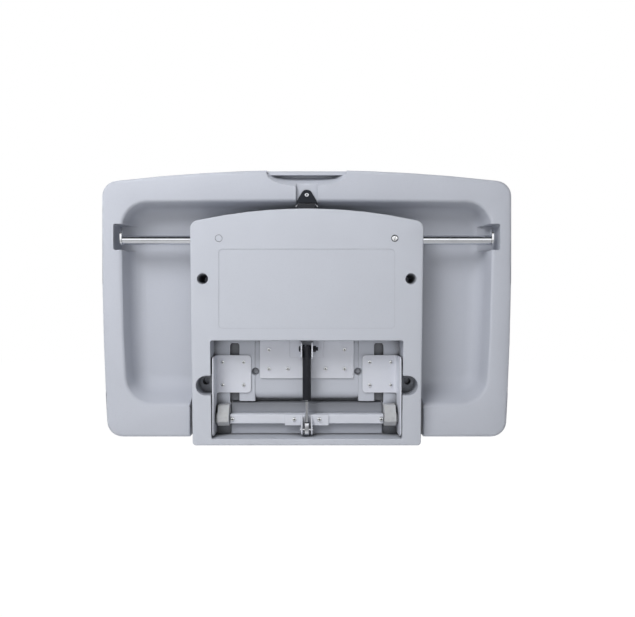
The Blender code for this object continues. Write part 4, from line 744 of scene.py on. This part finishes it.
def tint(name, description, default):
    """A colour that a user would change."""
    return FloatVectorProperty(name=name, description=description, subtype="COLOR", size=3,
                               default=default)


def length(name, description, default):
    """A size that a user would change."""
    return FloatProperty(name=name, description=description, unit="LENGTH", default=default)


def power(name, description, default):
    """A lamp's power that a user would change."""
    return FloatProperty(name=name, description=description, unit="POWER", default=default)


class StationColours(bpy.types.PropertyGroup):
    """Base colour of each finish."""

    bed_plastic: tint("Bed", "Colour of the moulded bed", (0.552, 0.577, 0.646))
    housing_plastic: tint("Housing", "Colour of the wall housing", (0.570, 0.596, 0.662))
    coated_steel: tint("Coated steel", "Colour of the hinge plates", (0.690, 0.711, 0.781))
    bright_steel: tint("Bright steel", "Colour of bar and rod", (0.72, 0.735, 0.775))
    zinc_steel: tint("Zinc", "Colour of screws and caps", (0.86, 0.87, 0.89))
    cream_nylon: tint("Nylon", "Colour of the bearing blocks", (0.51, 0.52, 0.535))
    black_enamel: tint("Enamel", "Colour of the gas cylinder", (0.011, 0.012, 0.017))
    black_plastic: tint("Black plastic", "Colour of anchors and buckle", (0.014, 0.016, 0.022))
    black_webbing: tint("Webbing", "Colour of the safety strap", (0.022, 0.023, 0.028))


class StationEdges(bpy.types.PropertyGroup):
    """Radius of the rounded edges of each kind of piece."""

    bed: length("Bed edge", "Round on the bed's edges", 0.0028)
    housing: length("Housing edge", "Round on the housing's edges", 0.0020)
    step: length("Step edge", "Round on shallow steps and small holes", 0.0003)
    sheet: length("Sheet edge", "Round on the plates' edges", 0.0004)
    block: length("Block edge", "Round on the bearing blocks", 0.0012)
    clip: length("Clip edge", "Round on the strap's anchors and buckle", 0.0008)
    hair: length("Hair edge", "Least round on small metal pieces", 0.00015)


class StationStrap(bpy.types.PropertyGroup):
    """Sizes of the safety strap."""

    thickness: length("Thickness", "Thickness of the webbing", 0.0015)
    fold_length: length("Fold length", "Length of the stitched fold", 0.032)
    thread_pitch: length("Thread pitch", "Distance between two ribs", 0.0014)


class StationStage(bpy.types.PropertyGroup):
    """Camera, lamps and backdrop."""

    distance: length("Distance", "From the wall plane to the camera", 1.2)
    height: length("Height", "Height of the camera over the origin", 0.065)
    lens: FloatProperty(name="Lens", description="Focal length in millimetres", default=32.4)
    shift_x: FloatProperty(name="Shift X", description="Sideways shift of the lens", default=0.0169)
    shift_y: FloatProperty(name="Shift Y", description="Upward shift of the lens", default=-0.0134)
    key: power("Key lamp", "Power of the main lamp", 23.5)
    fill: power("Fill lamp", "Power of the low fill lamp", 10.5)
    room: power("Room lamp", "Power of the lamp on the room side", 12.0)
    sky: FloatProperty(name="Sky", description="Strength of the even light", default=0.24)
    floor_z: length("Floor", "Height of the studio floor", -0.72)


class STATION_OT_stage(bpy.types.Operator):
    """Set the camera, lamps, floor and backdrop"""

    bl_idname = "station.stage"
    bl_label = "Stage"

    def execute(self, context):
        stage = context.scene.station_stage
        self.camera(context, stage)
        for name, (size, place) in LAMPS.items():
            self.lamp(context, f"{name}_lamp", getattr(stage, name), size, place)
        self.sky(context, stage)
        self.floor(stage)
        context.scene.view_settings.view_transform = "Standard"
        return {"FINISHED"}

    def camera(self, context, stage):
        """Camera that looks square at the wall side."""
        data = bpy.data.cameras.new("camera")
        data.lens = stage.lens
        data.shift_x = stage.shift_x
        data.shift_y = stage.shift_y
        obj = bpy.data.objects.new("camera", data)
        obj.location = (0, stage.distance, stage.height)
        obj.rotation_euler = Euler((math.pi / 2, 0, math.pi))
        context.scene.collection.objects.link(obj)
        context.scene.camera = obj

    def lamp(self, context, name, watts, size, place):
        """Soft square lamp that faces the station."""
        data = bpy.data.lights.new(name, "AREA")
        data.energy = watts
        data.size = size
        obj = bpy.data.objects.new(name, data)
        obj.visible_glossy = False
        obj.location = place
        obj.rotation_euler = (-Vector(place)).to_track_quat("-Z", "Y").to_euler()
        context.scene.collection.objects.link(obj)

    def sky(self, context, stage):
        """Even pale light, which the camera sees as white and metal as bright and dark bands."""
        world = bpy.data.worlds.new("sky")
        world.use_nodes = True
        context.scene.world = world
        sky = Nodes(world.node_tree)
        even = sky.node("ShaderNodeBackground", {}, {"Color": WHITE, "Strength": stage.sky})
        white = sky.node("ShaderNodeBackground", {}, {"Color": WHITE, "Strength": 1.0})
        direction = sky.node("ShaderNodeTexCoord", output="Generated")
        height = sky.node("ShaderNodeSeparateXYZ", {}, {"Vector": direction}, "Z")
        bands = sky.ramp(0.5 + 0.5 * height, *STUDIO_BANDS)
        studio = sky.node("ShaderNodeBackground", {}, {"Color": bands, "Strength": STUDIO_GLOW})
        glossy_ray, camera_ray = (sky.node("ShaderNodeLightPath", output=f"Is {kind} Ray")
                                  for kind in ("Glossy", "Camera"))
        mirrored = sky.node("ShaderNodeMixShader", {}, {0: glossy_ray, 1: even, 2: studio})
        seen = sky.node("ShaderNodeMixShader", {}, {0: camera_ray, 1: mirrored, 2: white})
        sky.put(sky.tree.nodes["World Output"].inputs["Surface"], seen)

    def floor(self, stage):
        """White studio floor that keeps a faint shadow."""
        recipe = Recipe("studio_floor")
        recipe.set(Base_Color=FLOOR_COLOUR, Roughness=FLOOR_ROUGHNESS)
        camera_ray = recipe.node("ShaderNodeLightPath", output="Is Camera Ray")
        glow = recipe.node("ShaderNodeEmission", {}, {"Color": WHITE, "Strength": FLOOR_GLOW})
        lit = Wire(recipe, recipe.shader.outputs["BSDF"])
        share = camera_ray * FLOOR_GLOW_SHARE
        mixed = recipe.node("ShaderNodeMixShader", {}, {0: share, 1: lit, 2: glow})
        recipe.put(recipe.tree.nodes["Material Output"].inputs["Surface"], mixed)
        bm = bmesh.new()
        bmesh.ops.create_grid(bm, x_segments=1, y_segments=1, size=FLOOR_HALF)
        bmesh.ops.translate(bm, verts=bm.verts, vec=(0, 0, stage.floor_z))
        mesh = bpy.data.meshes.new("floor")
        bm.to_mesh(mesh)
        bm.free()
        mesh.materials.append(recipe.material)
        obj = bpy.data.objects.new("floor", mesh)
        bpy.context.scene.collection.objects.link(obj)


class STATION_OT_mouldings(bpy.types.Operator):
    """Round the edges of the moulded bed and wall housing"""

    bl_idname = "station.mouldings"
    bl_label = "Mouldings"

    def execute(self, context):
        edges = context.scene.station_edges
        for node, body, wide, paint_shade in (
                ("bed_shell", BED_BODY, edges.bed, self.soil_knuckle),
                ("wall_housing", WALL_BODY, edges.housing, self.soil_grooves)):
            bm = merged_copy(node)
            round_edges(bm, wide, edges.step)
            paint_shade(bm)
            piece(f"{node}_moulded", bm, SLOTS[node], body, node)
        rounded_node("bar_hole_plug", WALL_BODY, edges.step, edges.hair, "moulded")
        return {"FINISHED"}

    def soil_knuckle(self, bm):
        """Mark the bed's knuckle round the hinge shaft with painted shade, its strength set by
        height.
        """
        low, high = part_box("hinge_shaft")
        grime = bm.loops.layers.float.new("grime")
        for face in bm.faces:
            centre = face.calc_center_median()
            if abs(centre.x) < high.x and centre.z < high.z + KNUCKLE_OVER \
                    and centre.y > low.y - KNUCKLE_BEHIND:
                for loop in face.loops:
                    over, under = loop.vert.co.z - high.z, low.z - loop.vert.co.z
                    loop[grime] = KNUCKLE_SHADE_ABOVE + KNUCKLE_SHADE_SLOPE * over if under < 0 \
                        else KNUCKLE_SHADE_BELOW - KNUCKLE_SHADE_SLOPE * under

    def soil_grooves(self, bm):
        """Mark the two grooves behind the hinge brackets with painted shade."""
        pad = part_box("hinge_bracket_right")[0].y
        block_low, block_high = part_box("bearing_block_right")
        middle = min(abs(block_low.x), abs(block_high.x)) - GROOVE_FROM_BLOCK
        grime = bm.loops.layers.float.new("grime")
        for face in bm.faces:
            centre = face.calc_center_median()
            if abs(abs(centre.x) - middle) < GROOVE_HALF \
                    and pad - GROOVE_FLOOR < centre.y < pad - GROOVE_RIM \
                    and block_low.z < centre.z < GROOVE_TOP_Z:
                for loop in face.loops:
                    loop[grime] = 1.0


class STATION_OT_hinge_plates(bpy.types.Operator):
    """Press the hinge brackets, centre plate, spring bracket and crank"""

    bl_idname = "station.hinge_plates"
    bl_label = "Hinge plates"

    def execute(self, context):
        edges = context.scene.station_edges
        plates = [(f"hinge_bracket_{side}", WALL_BODY) for side, _ in SIDES]
        plates += [("centre_plate", WALL_BODY), ("spring_bracket", WALL_BODY),
                   ("crank_clevis", BED_BODY), ("hinge_shaft", BED_BODY)]
        for node, body in plates:
            rounded_node(node, body, edges.sheet, edges.hair, "pressed")
        return {"FINISHED"}


class STATION_OT_bearing_blocks(bpy.types.Operator):
    """Cast the nylon bearing blocks"""

    bl_idname = "station.bearing_blocks"
    bl_label = "Bearing blocks"

    def execute(self, context):
        edges = context.scene.station_edges
        for side, _ in SIDES:
            rounded_node(f"bearing_block_{side}", WALL_BODY, edges.block, edges.step, "cast")
        return {"FINISHED"}


class STATION_OT_gas_spring(bpy.types.Operator):
    """Build the gas spring and its pins"""

    bl_idname = "station.gas_spring"
    bl_label = "Gas spring"

    def execute(self, context):
        edges = context.scene.station_edges
        for node, body, wide in (("gas_cylinder", CYLINDER_BODY, edges.block),
                                 ("gas_rod", ROD_BODY, edges.sheet),
                                 ("spring_pin", CYLINDER_BODY, edges.sheet),
                                 ("spring_pin_nut", CYLINDER_BODY, edges.sheet),
                                 ("crank_pin", BED_BODY, edges.sheet)):
            rounded_node(node, body, wide, edges.hair, "turned")
        return {"FINISHED"}


class STATION_OT_bag_bar(bpy.types.Operator):
    """Turn the bag bar and its end caps"""

    bl_idname = "station.bag_bar"
    bl_label = "Bag bar"

    def execute(self, context):
        edges = context.scene.station_edges
        rounded_node("bag_bar", WALL_BODY, edges.sheet, edges.hair, "drawn")
        for side, _ in SIDES:
            rounded_node(f"bar_cap_{side}", WALL_BODY, edges.sheet, edges.hair, "cast")
        return {"FINISHED"}


class STATION_OT_screws(bpy.types.Operator):
    """Drive the cross screws"""

    bl_idname = "station.screws"
    bl_label = "Screws"

    def execute(self, context):
        kinds = (
            (PLATE_SCREW, WALL_BODY, [f"bracket_screw_{side}_{n}" for side, _ in SIDES
                                      for n in range(1, 5)]),
            (PLATE_SCREW, WALL_BODY, [f"centre_screw_{n}" for n in range(1, 7)]),
            (PLATE_SCREW, BED_BODY, [f"crank_screw_{side}" for side, _ in SIDES]),
            (SHAFT_BOLT, BED_BODY, [f"shaft_bolt_{side}" for side, _ in SIDES]),
            (ANCHOR_SCREW, BED_BODY, ["anchor_screw_front", "anchor_screw_rear"]),
            (BAR_SCREW, WALL_BODY, ["bar_screw"]))
        for (head, shank_radius), body, nodes in kinds:
            for node in nodes:
                screw_for(node, body, head, shank_radius)
        return {"FINISHED"}


class STATION_OT_strap(bpy.types.Operator):
    """Mould the strap anchors and buckle and weave the safety strap"""

    bl_idname = "station.strap"
    bl_label = "Safety strap"

    def execute(self, context):
        edges = context.scene.station_edges
        strap = context.scene.station_strap
        for node in ("strap_anchor_front", "strap_anchor_rear"):
            rounded_node(node, BED_BODY, edges.clip, edges.hair, "moulded")
        self.keeper()
        self.buckle(edges)
        self.tongue(edges)
        self.webbing("front", 1, strap)
        self.webbing("rear", -1, strap)
        return {"FINISHED"}

    def webbing(self, place, up, strap):
        """Webbing from its tail, round the anchor's bar, to the fold in the buckle."""
        plate_low, plate_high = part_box(f"strap_anchor_{place}")
        low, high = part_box(f"strap_{place}")
        half = strap.thickness / 2
        middle = (plate_low.y + plate_high.y) / 2
        radius = high.y - half - middle
        bar_z = plate_low.z if up > 0 else plate_high.z
        turn_z = bar_z + up * BAR_INSET
        floor = low.y + half
        route = [Vector((0, middle + radius, turn_z - up * reach)) for reach in TAIL_REACHES]
        route += arc((middle, turn_z), radius, 0, up * 180, 14)
        if up > 0:
            run_z = bar_z - RUN_DROP
            route += arc((middle - radius - RUN_CORNER, run_z + RUN_CORNER), RUN_CORNER, 0, -90, 6)
            fillet = BASIN_FILLET - half - FLOOR_PLAY
            route += arc((low.y - FLOOR_PLAY + BASIN_FILLET, run_z - fillet), fillet, 90, 180, 12)
            fold_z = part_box("buckle_body")[1].z - BODY_FOLD_INSET
        else:
            slope_z = bar_z + SLOPE_LENGTH
            route += [Vector((0, middle - radius, bar_z))]
            route += [Vector((0, floor + (middle - radius - floor) * share,
                              bar_z + (slope_z - bar_z) * (1 - share))) for share in SLOPE_SHARES]
            route += [Vector((0, floor, slope_z + SLOPE_END))]
            fold_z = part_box("buckle_tongue")[0].z + TONGUE_FOLD_INSET
        turn = strap.thickness * FOLD_SHARE
        back = strap.fold_length
        route += [Vector((0, floor, fold_z + up * reach)) for reach in (back, back / 2, 0.0)]
        route += arc((floor + turn, fold_z), turn, 180, 180 + up * 180, 8)[1:]
        route += [Vector((0, floor + 2 * turn, fold_z + up * reach))
                  for reach in (back / 2, back - TAIL_END, back)]
        bm = bmesh.new()
        swept(bm, section(high.x, strap.thickness), route, Vector((1, 0, 0)))
        self.stitching(bm, high.x - STITCH_INSET, floor + 2 * turn + half,
                       fold_z + up * STITCH_START, fold_z + up * (back - STITCH_END))
        lay_webbing(bm)
        piece(f"strap_{place}_woven", bm, SLOTS[f"strap_{place}"], BED_BODY, f"strap_{place}")

    def stitching(self, bm, side, skin, near, far):
        """Box of stitches with a cross in it, on the fold's skin."""
        corners = [Vector((x, skin, z)) for x, z in ((-side, near), (side, near), (side, far),
                                                     (-side, far))]
        for first, second in ((0, 1), (1, 2), (2, 3), (3, 0), (0, 2), (1, 3)):
            stitch_line(bm, corners[first], corners[second], Vector((0, 1, 0)))

    def keeper(self):
        """Bent wire whose bright ends show at the front anchor's lower corners."""
        low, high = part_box("strap_anchor_front")
        for side, sign in SIDES:
            route = [Vector((x * sign, high.y + KEEPER_WIRE / 2, low.z + rise))
                     for x, rise in KEEPER_CURL]
            route[-1].y -= KEEPER_WIRE
            bm = bmesh.new()
            swept(bm, section(KEEPER_WIRE / 2, KEEPER_WIRE, 6), route, Vector((0, 1, 0)))
            bmesh.ops.recalc_face_normals(bm, faces=bm.faces)
            shade_by_angle(bm)
            piece(f"keeper_end_{side}", bm, "bright_steel", BED_BODY)

    def buckle(self, edges):
        """Buckle body with a notch at each side, and its raised panel with grip ridges."""
        low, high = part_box("buckle_body")
        right = [(high.x - inward, low.z + rise, radius) for inward, rise, radius in BODY_SIDE]
        right += [(high.x - BODY_TOP_INSET, high.z, BODY_TOP_CORNER)]
        left = [(-x, z, radius) for x, z, radius in right]
        bm = slab([soft_outline(left[:1] + right + left[:0:-1])], low.y, high.y - BODY_SINK)
        round_edges(bm, edges.clip, edges.hair)
        piece("buckle_body_moulded", bm, SLOTS["buckle_body"], BED_BODY, "buckle_body")
        panel = soft_box(-PANEL_HALF, PANEL_HALF, low.z + PANEL_FOOT, high.z - PANEL_HEAD,
                         PANEL_CORNER)
        bm = slab([panel], high.y - PANEL_ROOT, high.y - PANEL_SINK)
        round_edges(bm, edges.clip, edges.hair)
        ridge = [(-x, lift) for x, lift in reversed(RIDGE_END)] + list(RIDGE_END)
        for number in range(RIDGES):
            z = high.z - RIDGE_START - RIDGE_PITCH * number
            route = [Vector((x, high.y + lift, z)) for x, lift in ridge]
            swept(bm, section(RIDGE_WIDTH / 2, RIDGE_WIDTH, 4), route, Vector((0, 0, 1)))
        bmesh.ops.recalc_face_normals(bm, faces=bm.faces)
        piece("buckle_panel_moulded", bm, SLOTS["buckle_body"], BED_BODY)

    def tongue(self, edges):
        """Buckle tongue with its strap slot, and the two prongs that show in the body's notches."""
        low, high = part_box("buckle_tongue")
        right = [(high.x, low.z, TONGUE_CORNER), (high.x, high.z - TONGUE_SLANT, TONGUE_CORNER),
                 (high.x - TONGUE_SLANT, high.z, TONGUE_CORNER)]
        left = [(-x, z, radius) for x, z, radius in right]
        slot = soft_box(-SLOT_HALF, SLOT_HALF, low.z + SLOT_FOOT, low.z + SLOT_HEAD, SLOT_CORNER)
        bm = slab([soft_outline(left[:1] + right + left[:0:-1]), slot], low.y, high.y)
        round_edges(bm, edges.clip, edges.hair)
        piece("buckle_tongue_moulded", bm, SLOTS["buckle_tongue"], BED_BODY, "buckle_tongue")
        low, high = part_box("buckle_body")
        for side, sign in SIDES:
            corners = [((high.x - inward) * sign, low.z + rise, radius)
                       for inward, rise, radius in PRONG_SIDE][::sign]
            bm = slab([soft_outline(corners)], low.y + PRONG_LIFT, high.y - PRONG_SINK)
            round_edges(bm, edges.clip * PRONG_EDGE_SHARE, edges.hair)
            piece(f"buckle_prong_{side}", bm, SLOTS["buckle_tongue"], BED_BODY)


class STATION_PT_panel(bpy.types.Panel):
    """Station tools in the 3D view's sidebar"""

    bl_idname = "STATION_PT_panel"
    bl_label = "Changing Station"
    bl_space_type = "VIEW_3D"
    bl_region_type = "UI"
    bl_category = "Station"

    def draw(self, context):
        layout = self.layout
        for operator in OPERATORS:
            layout.operator(operator.bl_idname)
        for name in GROUPS:
            group = getattr(context.scene, name)
            column = layout.column(align=True)
            for prop in group.bl_rna.properties:
                if prop.identifier not in ("rna_type", "name"):
                    column.prop(group, prop.identifier)


OPERATORS = (STATION_OT_stage, STATION_OT_mouldings, STATION_OT_hinge_plates,
             STATION_OT_bearing_blocks, STATION_OT_gas_spring, STATION_OT_bag_bar,
             STATION_OT_screws, STATION_OT_strap)
GROUPS = {"station_colours": StationColours, "station_edges": StationEdges,
          "station_strap": StationStrap, "station_stage": StationStage}


def register():
    """Register the classes and hang their settings on the scene."""
    for name, group in GROUPS.items():
        bpy.utils.register_class(group)
        setattr(bpy.types.Scene, name, PointerProperty(type=group))
    for operator in OPERATORS:
        bpy.utils.register_class(operator)
    bpy.utils.register_class(STATION_PT_panel)


def unregister():
    """Take the classes and settings away again."""
    bpy.utils.unregister_class(STATION_PT_panel)
    for operator in reversed(OPERATORS):
        bpy.utils.unregister_class(operator)
    for name, group in reversed(GROUPS.items()):
        delattr(bpy.types.Scene, name)
        bpy.utils.unregister_class(group)


def main():
    """Register the classes and build every piece in order."""
    register()
    for operator in OPERATORS:
        group, name = operator.bl_idname.split(".")
        getattr(getattr(bpy.ops, group), name)()


if __name__ == "__main__":
    main()
